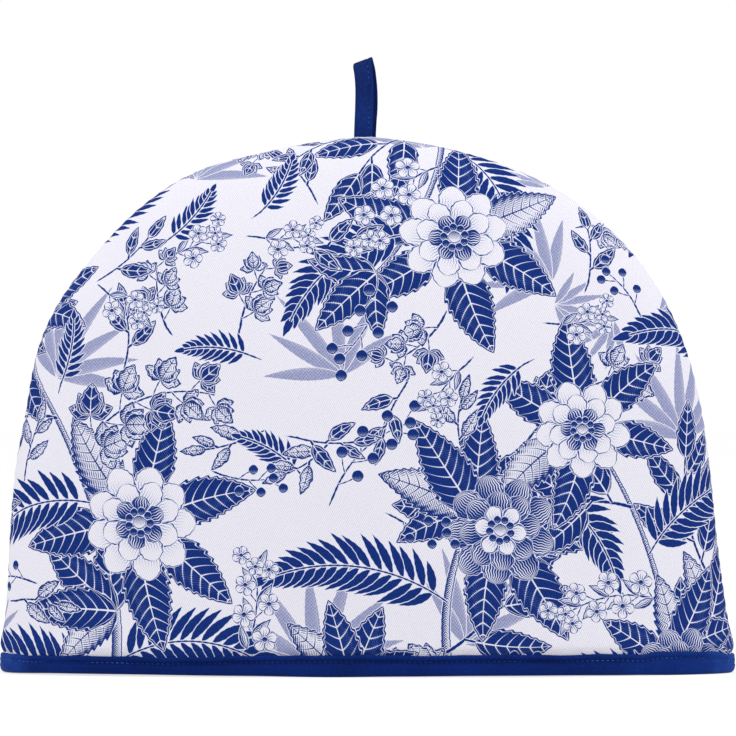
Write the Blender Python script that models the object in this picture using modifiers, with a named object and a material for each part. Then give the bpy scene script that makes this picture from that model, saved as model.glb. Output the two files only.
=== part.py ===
"""Padded tea cosy: two crowned panels seamed along an arch, a bound hem and a hanging loop.

The origin is the middle of the base, +Z up, with the front panel towards -Y. Sizes are in metres.
"""

import math

import bmesh
import bpy
from mathutils import Vector

# The arch outline, seen from the front. Below the shoulders it flares a little towards the hem.
ARCH_HEIGHT = 0.2594
ARCH_HALF_WIDTH = 0.1698
ARCH_FLARE = 0.0096
FLARE_POWER = 5.0
SHOULDER_POWER = 1.93
CROWN_POWER = 3.90
ARCH_LEAN = 0.0023
LEAN_HEIGHT = 0.085

# How far the panels stand out from the seam plane.
PANEL_DEPTH = 0.0540
DEPTH_TAPER = 0.22
DEPTH_TAPER_POWER = 1.5
SEAM_DIP = 0.0012
SEAM_DIP_REACH = 0.005

# The padded wall, which the binding pinches at the hem.
WALL = 0.0080
HEM_WALL = 0.0050
GAP = 0.0003
SKIRT_FOOT = 0.0016
SKIRT_TOP = 0.0145
SKIRT_EASE = 0.007
SEAM_ALLOWANCE = 0.003

# Grid of a panel: columns across, rows of the arch above the skirt.
COLUMNS = 32
ARCH_ROWS = 22
SKIRT_ROWS = (-0.0030, 0.0035, 0.0080, 0.0110)
SHOULDER_SHARE = 0.315

# The binding's ring, taken along the middle of the hem's wall.
BINDING_HALF_WIDTH = 0.1775
BINDING_HALF_DEPTH = 0.0540
BINDING_CLOTH = 0.0013
BINDING_END_HEIGHT = 0.0082
BINDING_MIDDLE_HEIGHT = 0.0102
BINDING_WAVE = 0.0003
BINDING_WAVES = 7
BINDING_CORNER = 0.0026
BINDING_EDGE = 0.0004
BINDING_STEPS = 2 * COLUMNS

# The hanging loop: a flat tape, its two ends side by side in a pocket of the top seam.
TAPE_WIDTH = 0.0092
TAPE_THICKNESS = 0.0013
TAPE_TILT = 0.0034
TILT_RUN = 0.010
TAPE_STEPS = 40
POCKET_FLOOR = 0.2522

# Stations up the loop: height above the pocket floor, distance of a leg from the seam plane, and
# where the middle of the front leg and of the back leg stands across the cosy.
LOOP_STATIONS = (
    {"rise": 0.0004, "spread": 0.00082, "front_x": -0.0015, "back_x": -0.0007},
    {"rise": 0.0075, "spread": 0.00090, "front_x": -0.0015, "back_x": -0.0006},
    {"rise": 0.0135, "spread": 0.00260, "front_x": -0.0013, "back_x": -0.0002},
    {"rise": 0.0210, "spread": 0.00400, "front_x": -0.0010, "back_x": 0.0003},
    {"rise": 0.0295, "spread": 0.00440, "front_x": -0.0009, "back_x": 0.0004},
    {"rise": 0.0370, "spread": 0.00380, "front_x": -0.0013, "back_x": 0.0},
    {"rise": 0.0413, "spread": 0.00230, "front_x": -0.0017, "back_x": -0.0010},
    {"rise": 0.0428, "spread": 0.00000, "front_x": -0.0018, "back_x": -0.0018},
)

# Colours, linear.
COTTON_WHITE = (0.820, 0.810, 0.890, 1.0)
BINDING_BLUE = (0.006, 0.017, 0.115, 1.0)


def clear_scene():
    for item in list(bpy.data.objects):
        bpy.data.objects.remove(item, do_unlink=True)


def new_collection(name):
    made = bpy.data.collections.new(name)
    bpy.context.scene.collection.children.link(made)
    return made


def cloth_material(name, colour, roughness):
    made = bpy.data.materials.new(name)
    made.use_nodes = True
    shader = made.node_tree.nodes["Principled BSDF"]
    shader.inputs["Base Color"].default_value = colour
    shader.inputs["Roughness"].default_value = roughness
    shader.inputs["Metallic"].default_value = 0.0
    return made


def smoothstep(value):
    t = min(max(value, 0.0), 1.0)
    return t * t * (3.0 - 2.0 * t)


def blend(a, b, t):
    return a + (b - a) * t


# ---- the arch ---------------------------------------------------------------------------------


def side_reach(z):
    """Half the width that the outline would have at height z without its crown."""
    rise = min(max(z / ARCH_HEIGHT, 0.0), 1.0)
    return ARCH_HALF_WIDTH + ARCH_FLARE * (1.0 - rise) ** FLARE_POWER


def middle_x(z):
    return -ARCH_LEAN * smoothstep(z / LEAN_HEIGHT)


def arch_point(angle):
    """A point of the arch seam, x and z, from 0 at the left side to pi at the right."""
    z = ARCH_HEIGHT * math.sin(angle) ** (2.0 / CROWN_POWER)
    out = side_reach(z) * abs(math.cos(angle)) ** (2.0 / SHOULDER_POWER)
    return Vector((middle_x(z) - math.copysign(out, math.cos(angle)), z))


def evenly(points, shares):
    """Points at the given shares of the length of a polyline."""
    along = [0.0]
    for a, b in zip(points, points[1:]):
        along.append(along[-1] + (b - a).length)
    found = []
    piece = 0
    for share in shares:
        target = share * along[-1]
        while piece < len(points) - 2 and along[piece + 1] < target:
            piece += 1
        run = along[piece + 1] - along[piece]
        t = min(max((target - along[piece]) / run, 0.0), 1.0)
        found.append(points[piece].lerp(points[piece + 1], t))
    return found


def arch_samples(count=1440):
    start = math.asin((SKIRT_TOP / ARCH_HEIGHT) ** (CROWN_POWER / 2.0))
    return [arch_point(blend(start, math.pi - start, i / count)) for i in range(count + 1)]


def column_shares():
    """Places across the panel, closer together towards both sides."""
    return [0.5 - 0.5 * math.cos(math.pi * i / COLUMNS) for i in range(COLUMNS + 1)]


def row_shares():
    """Places up the panel, closer together towards the top."""
    return [math.sin(0.5 * math.pi * (i / ARCH_ROWS) ** 1.05) for i in range(ARCH_ROWS + 1)]


def arch_patch():
    """Rows of x, z points that fill the arch above the skirt, as a patch between its four edges."""
    samples = arch_samples()
    across, up = column_shares(), row_shares()
    left = evenly(samples, [SHOULDER_SHARE * b for b in up])
    right = evenly(samples[::-1], [SHOULDER_SHARE * b for b in up])
    crown = evenly(samples, [blend(SHOULDER_SHARE, 1.0 - SHOULDER_SHARE, a) for a in across])
    base = [samples[0].lerp(samples[-1], a) for a in across]
    rows = []
    for j, b in enumerate(up):
        row = []
        for i, a in enumerate(across):
            sides = left[j].lerp(right[j], a)
            ends = base[i].lerp(crown[i], b)
            corners = base[0].lerp(base[-1], a).lerp(crown[0].lerp(crown[-1], a), b)
            row.append(sides + ends - corners)
        rows.append(row)
    return rows


def stand_out(x, z):
    """How far the panel's face stands from the seam plane at x, z."""
    rise = z / ARCH_HEIGHT
    filled = (abs(x - middle_x(z)) / side_reach(z)) ** SHOULDER_POWER + rise**CROWN_POWER
    depth = PANEL_DEPTH * (1.0 - DEPTH_TAPER * rise**DEPTH_TAPER_POWER)
    return depth * math.sqrt(max(1.0 - filled, 0.0))


def ring_point(angle, inset):
    """A point of the hem's ring, x and y, moved in from the binding's outer face by inset."""
    a, b = BINDING_HALF_WIDTH, BINDING_HALF_DEPTH
    out = Vector((math.cos(angle) / a, math.sin(angle) / b)).normalized()
    return Vector((a * math.cos(angle), b * math.sin(angle))) - inset * out


# ---- the panels -------------------------------------------------------------------------------


def panel_points(side):
    """Rows of points of a panel's outer face, from below the hem to the seam. side is -1 in front."""
    rows = []
    for z in SKIRT_ROWS:
        row = []
        for i in range(COLUMNS + 1):
            angle = math.pi - math.pi * i / COLUMNS
            flat = ring_point(angle, BINDING_CLOTH + GAP)
            row.append(Vector((flat.x, side * flat.y, z)))
        rows.append(row)
    for patch_row in arch_patch():
        rows.append([Vector((p.x, side * stand_out(p.x, p.y), p.y)) for p in patch_row])
    return rows


def dip_seam(bm, seam):
    """Draws the face in where it nears the arch seam."""
    bm.normal_update()
    moves = []
    for v in bm.verts:
        fade = smoothstep((v.co.z - SKIRT_TOP) / SKIRT_TOP)
        dip = SEAM_DIP * fade * math.exp(-((v.co.y / SEAM_DIP_REACH) ** 2))
        moves.append((v, -dip * v.normal))
    for v, move in moves:
        v.co += move
    for v in seam:
        v.co.y = 0.0


def thickness_share(z):
    """The wall's thickness as a share of the full wall, less where the binding pinches it."""
    pinched = 1.0 - smoothstep((z - SKIRT_ROWS[-1]) / SKIRT_EASE)
    return blend(1.0, HEM_WALL / WALL, pinched)


def make_panel(name, side, collection, cutters, material):
    rows = panel_points(side)
    bm = bmesh.new()
    bmesh.ops.create_grid(bm, x_segments=COLUMNS, y_segments=len(rows) - 1, size=0.5)
    seam = set()
    for v in bm.verts:
        i = round((v.co.x + 0.5) * COLUMNS)
        j = round((v.co.y + 0.5) * (len(rows) - 1))
        v.co = rows[j][i]
        if i in (0, COLUMNS) or j == len(rows) - 1:
            seam.add(v)
    if side > 0:
        bmesh.ops.reverse_faces(bm, faces=bm.faces)
    dip_seam(bm, seam)
    turned_in = [e for e in bm.edges if e.is_boundary and e.verts[0] in seam and e.verts[1] in seam]
    flange = bmesh.ops.extrude_edge_only(bm, edges=turned_in)["geom"]
    for v in flange:
        if isinstance(v, bmesh.types.BMVert):
            v.co.y = -side * SEAM_ALLOWANCE
    bm.normal_update()
    mesh = bpy.data.meshes.new(name)
    bm.to_mesh(mesh)
    bm.free()
    mesh.materials.append(material)
    mesh.shade_smooth()

    panel = bpy.data.objects.new(name, mesh)
    collection.objects.link(panel)
    wall = panel.vertex_groups.new(name="wall")
    for v in mesh.vertices:
        wall.add([v.index], thickness_share(v.co.z), "REPLACE")

    solid = panel.modifiers.new("wall", "SOLIDIFY")
    solid.thickness = WALL
    solid.offset = -1.0
    solid.vertex_group = "wall"
    solid.thickness_vertex_group = 0.0

    trim = panel.modifiers.new("trim", "BOOLEAN")
    trim.operation = "INTERSECT"
    trim.object = cutters[name]
    pocket = panel.modifiers.new("loop pocket", "BOOLEAN")
    pocket.operation = "DIFFERENCE"
    pocket.object = cutters["loop_pocket"]
    return panel


def box_cutter(name, low, high, collection):
    """A wire box from its lowest to its highest corner, used only to cut."""
    bm = bmesh.new()
    bmesh.ops.create_cube(bm, size=1.0)
    low, high = Vector(low), Vector(high)
    for v in bm.verts:
        v.co = Vector(blend(low[k], high[k], v.co[k] + 0.5) for k in range(3))
    mesh = bpy.data.meshes.new(name)
    bm.to_mesh(mesh)
    bm.free()
    cutter = bpy.data.objects.new(name, mesh)
    cutter.hide_render = True
    cutter.display_type = "WIRE"
    collection.objects.link(cutter)
    return cutter


def make_cutters(collection):
    reach = 2.0 * ARCH_HEIGHT
    seam = 0.5 * GAP
    pocket_x = 0.5 * TAPE_WIDTH + GAP
    pocket_y = LOOP_STATIONS[0]["spread"] + 0.5 * TAPE_THICKNESS + GAP
    front_low, front_high = (-reach, -reach, SKIRT_FOOT), (reach, -seam, reach)
    back_low, back_high = (-reach, seam, SKIRT_FOOT), (reach, reach, reach)
    pocket_low = (LOOP_STATIONS[0]["front_x"] - pocket_x, -pocket_y, POCKET_FLOOR)
    pocket_high = (LOOP_STATIONS[1]["back_x"] + pocket_x, pocket_y, reach)
    return {
        "front_panel": box_cutter("front_trim", front_low, front_high, collection),
        "back_panel": box_cutter("back_trim", back_low, back_high, collection),
        "loop_pocket": box_cutter("loop_pocket", pocket_low, pocket_high, collection),
    }


# ---- the binding ------------------------------------------------------------------------------


def binding_section():
    """The folded strip's section as (inset from the outer face, height share, height above the foot).

    A point's height is its share of the strip's height plus the last number.
    """
    width = 2.0 * (BINDING_CLOTH + GAP) + HEM_WALL
    floor = SKIRT_FOOT - GAP
    corner = [blend(0.0, 0.5 * math.pi, k / 3) for k in range(4)]
    outer = [
        (BINDING_CORNER * (1.0 - math.cos(t)), 0.0, BINDING_CORNER * (1.0 - math.sin(t)))
        for t in corner
    ]
    lip = [
        (BINDING_CLOTH, 0.0, floor),
        (BINDING_CLOTH, 1.0, -BINDING_EDGE),
        (BINDING_CLOTH - BINDING_EDGE, 1.0, 0.0),
        (BINDING_EDGE, 1.0, 0.0),
        (0.0, 1.0, -BINDING_EDGE),
    ]
    front_half = outer[::-1] + lip[::-1]
    back_half = [(width - inset, share, z) for inset, share, z in front_half]
    return front_half + back_half[::-1]


def binding_height(angle):
    """The strip is folded a little deeper in the middle of each panel than at the sides."""
    middle = abs(math.sin(angle)) ** 1.5
    wave = BINDING_WAVE * math.sin(BINDING_WAVES * angle + 0.6)
    return blend(BINDING_END_HEIGHT, BINDING_MIDDLE_HEIGHT, middle) + wave


def make_binding(collection, material):
    section = binding_section()
    bm = bmesh.new()
    ring = [bm.verts.new((1.0 + k, 0.0, 0.0)) for k in range(len(section))]
    loop = [bm.edges.new((ring[k - 1], ring[k])) for k in range(len(ring))]
    bmesh.ops.spin(
        bm,
        geom=ring + loop,
        cent=(0.0, 0.0, 0.0),
        axis=(0.0, 0.0, 1.0),
        angle=2.0 * math.pi,
        steps=BINDING_STEPS,
        use_merge=True,
    )
    for v in bm.verts:
        inset, share, z = section[round(v.co.xy.length) - 1]
        angle = math.atan2(v.co.y, v.co.x)
        flat = ring_point(angle, inset)
        v.co = Vector((flat.x, flat.y, share * binding_height(angle) + z))
    bmesh.ops.recalc_face_normals(bm, faces=bm.faces)
    mesh = bpy.data.meshes.new("hem_binding")
    bm.to_mesh(mesh)
    bm.free()
    mesh.materials.append(material)
    mesh.shade_smooth()
    mesh.set_sharp_from_angle(angle=math.radians(50))
    binding = bpy.data.objects.new("hem_binding", mesh)
    collection.objects.link(binding)
    return binding


# ---- the hanging loop -------------------------------------------------------------------------


def loop_line():
    """The tape's middle line as smooth points in x, y, z: up the front leg and down the back one."""
    front = [(row["front_x"], -row["spread"], row["rise"]) for row in LOOP_STATIONS]
    back = [(row["back_x"], row["spread"], row["rise"]) for row in LOOP_STATIONS[:-1]]
    knots = [Vector(p) + Vector((0.0, 0.0, POCKET_FLOOR)) for p in front + back[::-1]]
    ends = [2.0 * knots[0] - knots[1]] + knots + [2.0 * knots[-1] - knots[-2]]
    fine = []
    for a, b, c, d in zip(ends, ends[1:], ends[2:], ends[3:]):
        for k in range(12):
            t = k / 12
            fine.append(
                0.5
                * (
                    2.0 * b
                    + (c - a) * t
                    + (2.0 * a - 5.0 * b + 4.0 * c - d) * t**2
                    + (3.0 * b - a - 3.0 * c + d) * t**3
                )
            )
    fine.append(knots[-1])
    return evenly(fine, [k / TAPE_STEPS for k in range(TAPE_STEPS + 1)])


def make_loop(collection, material):
    line = loop_line()
    top = max(p.z for p in line)
    bm = bmesh.new()
    bmesh.ops.create_grid(bm, x_segments=2, y_segments=TAPE_STEPS, size=0.5)
    for v in bm.verts:
        across = v.co.x * TAPE_WIDTH
        middle = line[round((v.co.y + 0.5) * TAPE_STEPS)]
        tilt = TAPE_TILT / TAPE_WIDTH * smoothstep((middle.z - (top - TILT_RUN)) / TILT_RUN)
        v.co = middle + Vector((across, 0.0, tilt * across))
    mesh = bpy.data.meshes.new("hanging_loop")
    bm.to_mesh(mesh)
    bm.free()
    mesh.materials.append(material)
    mesh.shade_smooth()
    loop = bpy.data.objects.new("hanging_loop", mesh)
    collection.objects.link(loop)
    solid = loop.modifiers.new("tape", "SOLIDIFY")
    solid.thickness = TAPE_THICKNESS
    solid.offset = 0.0
    edge = loop.modifiers.new("edge", "BEVEL")
    edge.width = 0.25 * TAPE_THICKNESS
    edge.segments = 1
    edge.limit_method = "ANGLE"
    edge.angle_limit = math.radians(60)
    return loop


def main():
    clear_scene()
    cosy = new_collection("tea_cosy")
    cutting = new_collection("cutters")
    cotton = cloth_material("printed_cotton", COTTON_WHITE, 0.85)
    blue = cloth_material("blue_binding", BINDING_BLUE, 0.80)
    cutters = make_cutters(cutting)
    make_panel("front_panel", -1, cosy, cutters, cotton)
    make_panel("back_panel", 1, cosy, cutters, cotton)
    make_binding(cosy, blue)
    make_loop(cosy, blue)


main()
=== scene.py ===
"""Dressed model of a padded tea cosy: two printed cotton panels, a bound hem and a hanging loop.

Lengths are in metres, and in millimetres wherever a name speaks of the flat cloth.
"""

import math
from functools import partialmethod

import bmesh
import bpy
import numpy as np
from mathutils import Matrix, Vector


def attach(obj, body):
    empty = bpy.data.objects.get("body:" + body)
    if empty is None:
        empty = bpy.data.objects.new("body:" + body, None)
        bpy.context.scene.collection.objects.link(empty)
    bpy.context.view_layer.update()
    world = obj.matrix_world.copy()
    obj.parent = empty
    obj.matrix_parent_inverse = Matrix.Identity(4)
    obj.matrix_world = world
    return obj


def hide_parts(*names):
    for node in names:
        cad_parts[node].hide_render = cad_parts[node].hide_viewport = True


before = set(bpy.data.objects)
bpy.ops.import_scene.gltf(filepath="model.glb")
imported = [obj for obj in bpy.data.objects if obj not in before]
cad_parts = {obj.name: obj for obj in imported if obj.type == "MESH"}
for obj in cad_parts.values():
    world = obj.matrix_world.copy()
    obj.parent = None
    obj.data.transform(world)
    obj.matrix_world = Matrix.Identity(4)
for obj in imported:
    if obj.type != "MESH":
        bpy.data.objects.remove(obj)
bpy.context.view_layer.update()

# The arch outline, seen from the front, and how far the panels stand out from the seam.
ARCH_HEIGHT = 0.2594
ARCH_HALF_WIDTH = 0.1698
ARCH_FLARE = 0.0096
FLARE_POWER = 5.0
SHOULDER_POWER = 1.93
CROWN_POWER = 3.90
ARCH_LEAN = 0.0023
LEAN_HEIGHT = 0.085
SHOULDER_SHARE = 0.315
PANEL_DEPTH = 0.0540
DEPTH_TAPER = 0.22
DEPTH_TAPER_POWER = 1.5
SEAM_DIP = 0.0012
SEAM_DIP_REACH = 0.005
SEAM_GAP = 0.00015
SEAM_POINTS = 6001

# Where sewing carries the seam out or in, in rows of the way from the middle of the arch, in degrees
# from the right, the spread of the lump in degrees, and how far out it goes.
WANDER_MIDDLE = 0.095
WANDER_REACH = 0.026
SEAM_WANDER = (
    (169.0, 8.0, -0.0019),
    (163.0, 18.0, 0.0010),
    (141.0, 9.5, -0.0020),
    (118.5, 8.5, 0.0018),
    (110.0, 13.0, -0.0016),
    (90.0, 4.5, 0.0007),
    (72.0, 13.0, -0.0009),
    (46.0, 18.0, -0.0008),
)

# The padded wall and its skirt, which the binding holds.
WALL = 0.0080
HEM_WALL = 0.0050
GAP = 0.0003
SKIRT_FOOT = 0.0016
SKIRT_TOP = 0.0145
SKIRT_EASE = 0.007
SKIRT_PINCH = 0.0035
SKIRT_TUCK = 0.0002
SKIRT_ROWS = 12
BULGE_RUN = 0.0050

# Small waves in the cloth, from crest to crest: the crimp that the arch seam leaves, the swells of
# the filling, and the pull of the stitching just above the hem. The crests drift to and fro.
CRIMP_HEIGHT = 0.00022
CRIMP_PITCH = 0.0072
CRIMP_DRIFT = 0.021
CRIMP_REACH = 0.0075
CRIMP_START = 0.002
SWELL_HEIGHT = 0.00065
SWELL_LENGTH = 0.085
SWELL_START = 0.02
SWELL_COUNT = 5
PULL_HEIGHT = 0.00016
PULL_PITCH = 0.0098
PULL_DRIFT = 0.031
PULL_BAND = 0.006
PULL_FOOT = 0.0105
PULL_START = 0.003

# Quads across and up a panel's face. Its inner side keeps one row and one column in eight.
COLUMNS = 320
ARCH_ROWS = 268
INNER_STEP = 8

# The binding's ring, its folded section and its stitching.
BINDING_HALF_WIDTH = 0.1775
BINDING_HALF_DEPTH = 0.0540
BINDING_CLOTH = 0.0013
BINDING_END_HEIGHT = 0.0082
BINDING_MIDDLE_HEIGHT = 0.0102
BINDING_WAVE = 0.0003
BINDING_WAVES = 7
BINDING_CORNER = 0.0026
BINDING_STEPS = 1240
# How far the foot is off the table and how far the upper edge stands up, at places along the hem.
FOOT_LIFT = (
    (-0.176, 0.0003), (-0.149, 0.0008), (-0.118, 0.0008), (-0.060, 0.0005), (-0.018, 0.0),
    (0.016, 0.0003), (0.054, 0.0005), (0.093, 0.0005), (0.127, 0.0003), (0.151, 0.0), (0.176, 0.0),
)
EDGE_RISE = (
    (-0.177, 0.0016), (-0.170, 0.0012), (-0.162, 0.0003), (-0.149, 0.0), (-0.118, 0.0),
    (-0.100, -0.0003), (-0.082, -0.0003), (-0.060, 0.0001), (-0.018, 0.0), (0.002, 0.0002),
    (0.012, 0.0002), (0.024, 0.0001), (0.037, 0.0002), (0.047, 0.0008), (0.082, 0.0009),
    (0.092, 0.0004), (0.104, 0.0008), (0.118, 0.0009), (0.130, 0.0006), (0.140, 0.0020),
    (0.151, 0.0024), (0.168, 0.0025), (0.173, 0.0011), (0.177, 0.0009),
)
STITCHES = 310
STITCH_DROP = 0.0031
# The groove that the stitching draws in: its depth, and between which insets and below which rise
# the points of the folded section lie in it.
GROOVE = 0.00088
GROOVE_SHALLOW = 0.0001
GROOVE_DEEP = 0.001
GROOVE_TOP = -0.0010
STITCH_LENGTH = 0.0016
STITCH_THICKNESS = 0.00036
STITCH_PULL = 0.00012
STITCH_BAND = 0.0009
STITCH_LEAN = 0.10
STITCH_SIDES = 6
STITCH_ROWS = 5
# The strip's own unevenness: of both its faces, of the outer one besides, and of its upper edge.
FACE_WAVE = 0.00007
FACE_PITCH = 0.0047 * math.tau
FACE_DRIFT = 0.019
OUTER_WAVE = 0.000132
OUTER_PITCH = 0.0125
EDGE_WAVE = 0.00010
EDGE_PITCH = 0.0031 * math.tau
EDGE_DRIFT = 0.027

# The hanging loop.
TAPE_WIDTH = 0.0090
TAPE_THICKNESS = 0.0013
TAPE_TILT = 0.0034
TILT_RUN = 0.010
TAPE_STEPS = 150
TAPE_COLUMNS = 16
TAPE_STITCH_SHARE = 0.75
TAPE_STITCH_PITCH = 0.0024
TAPE_STITCH_SIZE = (0.00144, 0.00034, 0.00030)
TAPE_STITCH_STOP = 0.003
TAPE_HEM_REACH = 0.045
TAPE_EDGE_SHARE = 0.14
TAPE_FOLD_DROP = 0.0009
TAPE_FOLD_RUN = 0.0006
TAPE_SHADE_FROM = 0.009
TAPE_SHADE_RUN = 0.022
POCKET_FLOOR = 0.2522
# Stations up the tape, in rows of rise, half the gap between its legs, and x of the front leg and of
# the back one.
LOOP_STATIONS = (
    (0.0004, 0.00082, -0.0020, -0.0005),
    (0.0075, 0.00090, -0.0020, -0.0004),
    (0.0135, 0.00260, -0.0018, -0.0001),
    (0.0210, 0.00400, -0.0015, 0.0004),
    (0.0295, 0.00440, -0.0014, 0.0003),
    (0.0370, 0.00360, -0.0019, -0.0005),
    (0.0412, 0.00200, -0.0024, -0.0016),
    (0.0426, 0.00085, -0.0023, -0.0020),
    (0.0429, 0.00000, -0.0021, -0.0021),
)

# Colours of the cloths and the inks, linear.
COTTON_WHITE = (0.704, 0.694, 0.763, 1.0)
LINING_WHITE = (0.740, 0.730, 0.770, 1.0)
INK_COBALT = (0.0028, 0.0160, 0.116, 1.0)
INK_WASH = (0.120, 0.185, 0.430, 1.0)
INK_PALE = (0.181, 0.196, 0.330, 1.0)
HEM_NAVY = (0.0014, 0.0108, 0.089, 1.0)
# Painted shade: the hem's colour in its stitched groove, at its foot and left of its middle.
HEM_NAVY_PAINTED_SHADE = (0.0001, 0.0058, 0.0580, 1.0)
# Painted light: the hem's colour round its ends and towards the right.
HEM_NAVY_PAINTED_LIGHT = (0.0080, 0.0400, 0.225, 1.0)
LOOP_NAVY = (0.0042, 0.0163, 0.100, 1.0)
# Painted shade: the tape's colour at its folded edges, along its stitches and towards its top.
LOOP_NAVY_PAINTED_SHADE = (0.0008, 0.0045, 0.036, 1.0)
# Painted shade: the tape's inner face, darker where it lies in shade between the legs.
LOOP_INSIDE_PAINTED_SHADE = (0.0010, 0.0070, 0.056, 1.0)
HEM_THREAD = (0.020, 0.052, 0.205, 1.0)
LOOP_THREAD = (0.013, 0.042, 0.195, 1.0)
SHEEN_BLUE = (0.120, 0.260, 1.000, 1.0)

# How dark the darkest and how light the lightest threads of a cloth are.
NAVY_SPREAD = (0.55, 2.10)
LINING_SPREAD = (0.93, 1.05)

# The weaves, in millimetres, the twill's slant in degrees and its relief in metres.
TWILL_PITCH = 0.893
TWILL_LEAN = 62.0
TWILL_RELIEF = 0.00014
SCREEN_PITCH = 1.7
THREAD_PITCH = 0.35

# Places across the cosy in millimetres, and how far each change runs: where painted light makes the
# hem's strip lighter round its ends and towards the right, where painted shade makes it darker left
# of the middle, and half the width over which painted shade darkens the hem's thread in the middle.
LIT_ENDS_FROM = 161.0
LIT_ENDS_RUN = 9.0
LIT_RIGHT_FROM = 90.0
LIT_RIGHT_RUN = 220.0
SHADED_LEFT_MIDDLE = -106.0
SHADED_LEFT_RUN = 48.0
THREAD_SHADE_HALF = 60.0
THREAD_SHADE_RUN = 70.0

# The studio: each soft light's place, the size of its panel and its power in watts, the glow of the
# pale floor, the sky's strength, and the camera's place and lens.
LIGHTS = {
    "left_light": ((-2.4, -0.6, 0.9), (1.4, 1.4), 14.0),
    "right_light": ((2.4, -0.5, 0.8), (1.4, 1.4), 11.0),
    "front_light": ((-0.6, -3.4, 1.2), (2.2, 1.6), 3.0),
    "key_light": ((0.35, -1.1, 2.8), (1.8, 1.8), 36.0),
}
LIT_PLACE = (0.0, 0.0, 0.12)
PLAIN_WHITE = (1.0, 1.0, 1.0, 1.0)
FLOOR_GREY = (0.30, 0.30, 0.303, 1.0)
FLOOR_GLOW = 0.66
SKY_STRENGTH = 1.01
CAMERA_PLACE = (0.00024, -3.2, 0.1470)
CAMERA_LENS = 324.07


def smoothstep(value):
    t = np.clip(value, 0.0, 1.0)
    return t * t * (3.0 - 2.0 * t)


def blend(a, b, t):
    return a + (b - a) * t


def drifting_wave(run, pitch, drift, sway):
    """A wave along a line, whose crests drift to and fro."""
    return np.sin(math.tau * run / pitch + sway * np.sin(run / drift))


def waves(u, v, length, seed):
    """Soft undulation from -1 to 1 over the plane, about length from crest to crest."""
    dice = np.random.default_rng(seed)
    total = 0.0
    for _ in range(SWELL_COUNT):
        way = dice.uniform(0.0, math.tau)
        pitch = length * dice.uniform(0.7, 1.5)
        phase = dice.uniform(0.0, math.tau)
        run = (u * math.cos(way) + v * math.sin(way)) / pitch
        total = total + np.sin(math.tau * run + phase)
    return total / SWELL_COUNT


# ---- the shape of the arch --------------------------------------------------------------------


def side_reach(z):
    """Half the width that the outline would have at height z without its crown."""
    rise = np.clip(z / ARCH_HEIGHT, 0.0, 1.0)
    return ARCH_HALF_WIDTH + ARCH_FLARE * (1.0 - rise) ** FLARE_POWER


def middle_x(z):
    """The arch leans a little: x of its middle at height z."""
    return -ARCH_LEAN * smoothstep(z / LEAN_HEIGHT)


def arch_seam(foot=SKIRT_TOP):
    """Points x, z along the arch seam, from its left end at the height foot to its right end."""
    start = math.asin((foot / ARCH_HEIGHT) ** (CROWN_POWER / 2.0))
    angle = np.linspace(start, math.pi - start, SEAM_POINTS)
    z = ARCH_HEIGHT * np.sin(angle) ** (2.0 / CROWN_POWER)
    out = side_reach(z) * np.abs(np.cos(angle)) ** (2.0 / SHOULDER_POWER)
    return np.stack((middle_x(z) - np.copysign(out, np.cos(angle)), z), axis=1)


def arch_reach(z):
    """Half the outline's width at height z."""
    rise = np.clip(z / ARCH_HEIGHT, 0.0, 1.0)
    return side_reach(z) * (1.0 - rise**CROWN_POWER) ** (1.0 / SHOULDER_POWER)


def stand_out(x, z):
    """How far the panel's face stands from the seam plane at x, z."""
    rise = np.clip(z / ARCH_HEIGHT, 0.0, 1.0)
    filled = (np.abs(x - middle_x(z)) / side_reach(z)) ** SHOULDER_POWER + rise**CROWN_POWER
    depth = PANEL_DEPTH * (1.0 - DEPTH_TAPER * rise**DEPTH_TAPER_POWER)
    return depth * np.sqrt(np.clip(1.0 - filled, 0.0, 1.0))


def running_length(points):
    """Length along each line of points; the line's points are on the second last axis."""
    steps = np.linalg.norm(np.diff(points, axis=-2), axis=-1)
    start = np.zeros(steps.shape[:-1] + (1,))
    return np.concatenate((start, np.cumsum(steps, axis=-1)), axis=-1)


def at_shares(points, shares):
    """Points at the given shares of a line's length."""
    run = running_length(points)
    target = np.asarray(shares) * run[-1]
    return np.stack([np.interp(target, run, points[:, k]) for k in range(points.shape[1])], axis=1)


def arch_patch(across, up):
    """Points x, z that fill the arch above the skirt, as a patch between its four edges."""
    seam = arch_seam()
    left = at_shares(seam, SHOULDER_SHARE * up)[:, None]
    right = at_shares(seam[::-1], SHOULDER_SHARE * up)[:, None]
    crown = at_shares(seam, blend(SHOULDER_SHARE, 1.0 - SHOULDER_SHARE, across))[None]
    base = at_shares(seam[[0, -1]], across)[None]
    a = across[None, :, None]
    b = up[:, None, None]
    low = blend(base[:, :1], base[:, -1:], a)
    high = blend(crown[:, :1], crown[:, -1:], a)
    return blend(left, right, a) + blend(base, crown, b) - blend(low, high, b)


def even_shares(count, points_at):
    """Shares at which count + 1 points lie evenly along the line that points_at gives."""
    fine = 0.5 - 0.5 * np.cos(np.linspace(0.0, math.pi, 4001))
    run = running_length(points_at(fine))
    return np.interp(np.linspace(0.0, run[-1], count + 1), run, fine)


def on_face(flat):
    """x, z points moved out to the panel's face, as x, depth, z."""
    x, z = flat[..., 0], flat[..., 1]
    return np.stack((x, stand_out(x, z), z), axis=-1)


def ring_point(angle, inset):
    """A point of the hem's ring, x and depth, moved in from the binding's outer face by inset."""
    a, b = BINDING_HALF_WIDTH, BINDING_HALF_DEPTH
    out_x, out_y = np.cos(angle) / a, np.sin(angle) / b
    size = np.sqrt(out_x**2 + out_y**2)
    return a * np.cos(angle) - inset * out_x / size, b * np.sin(angle) - inset * out_y / size


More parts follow.
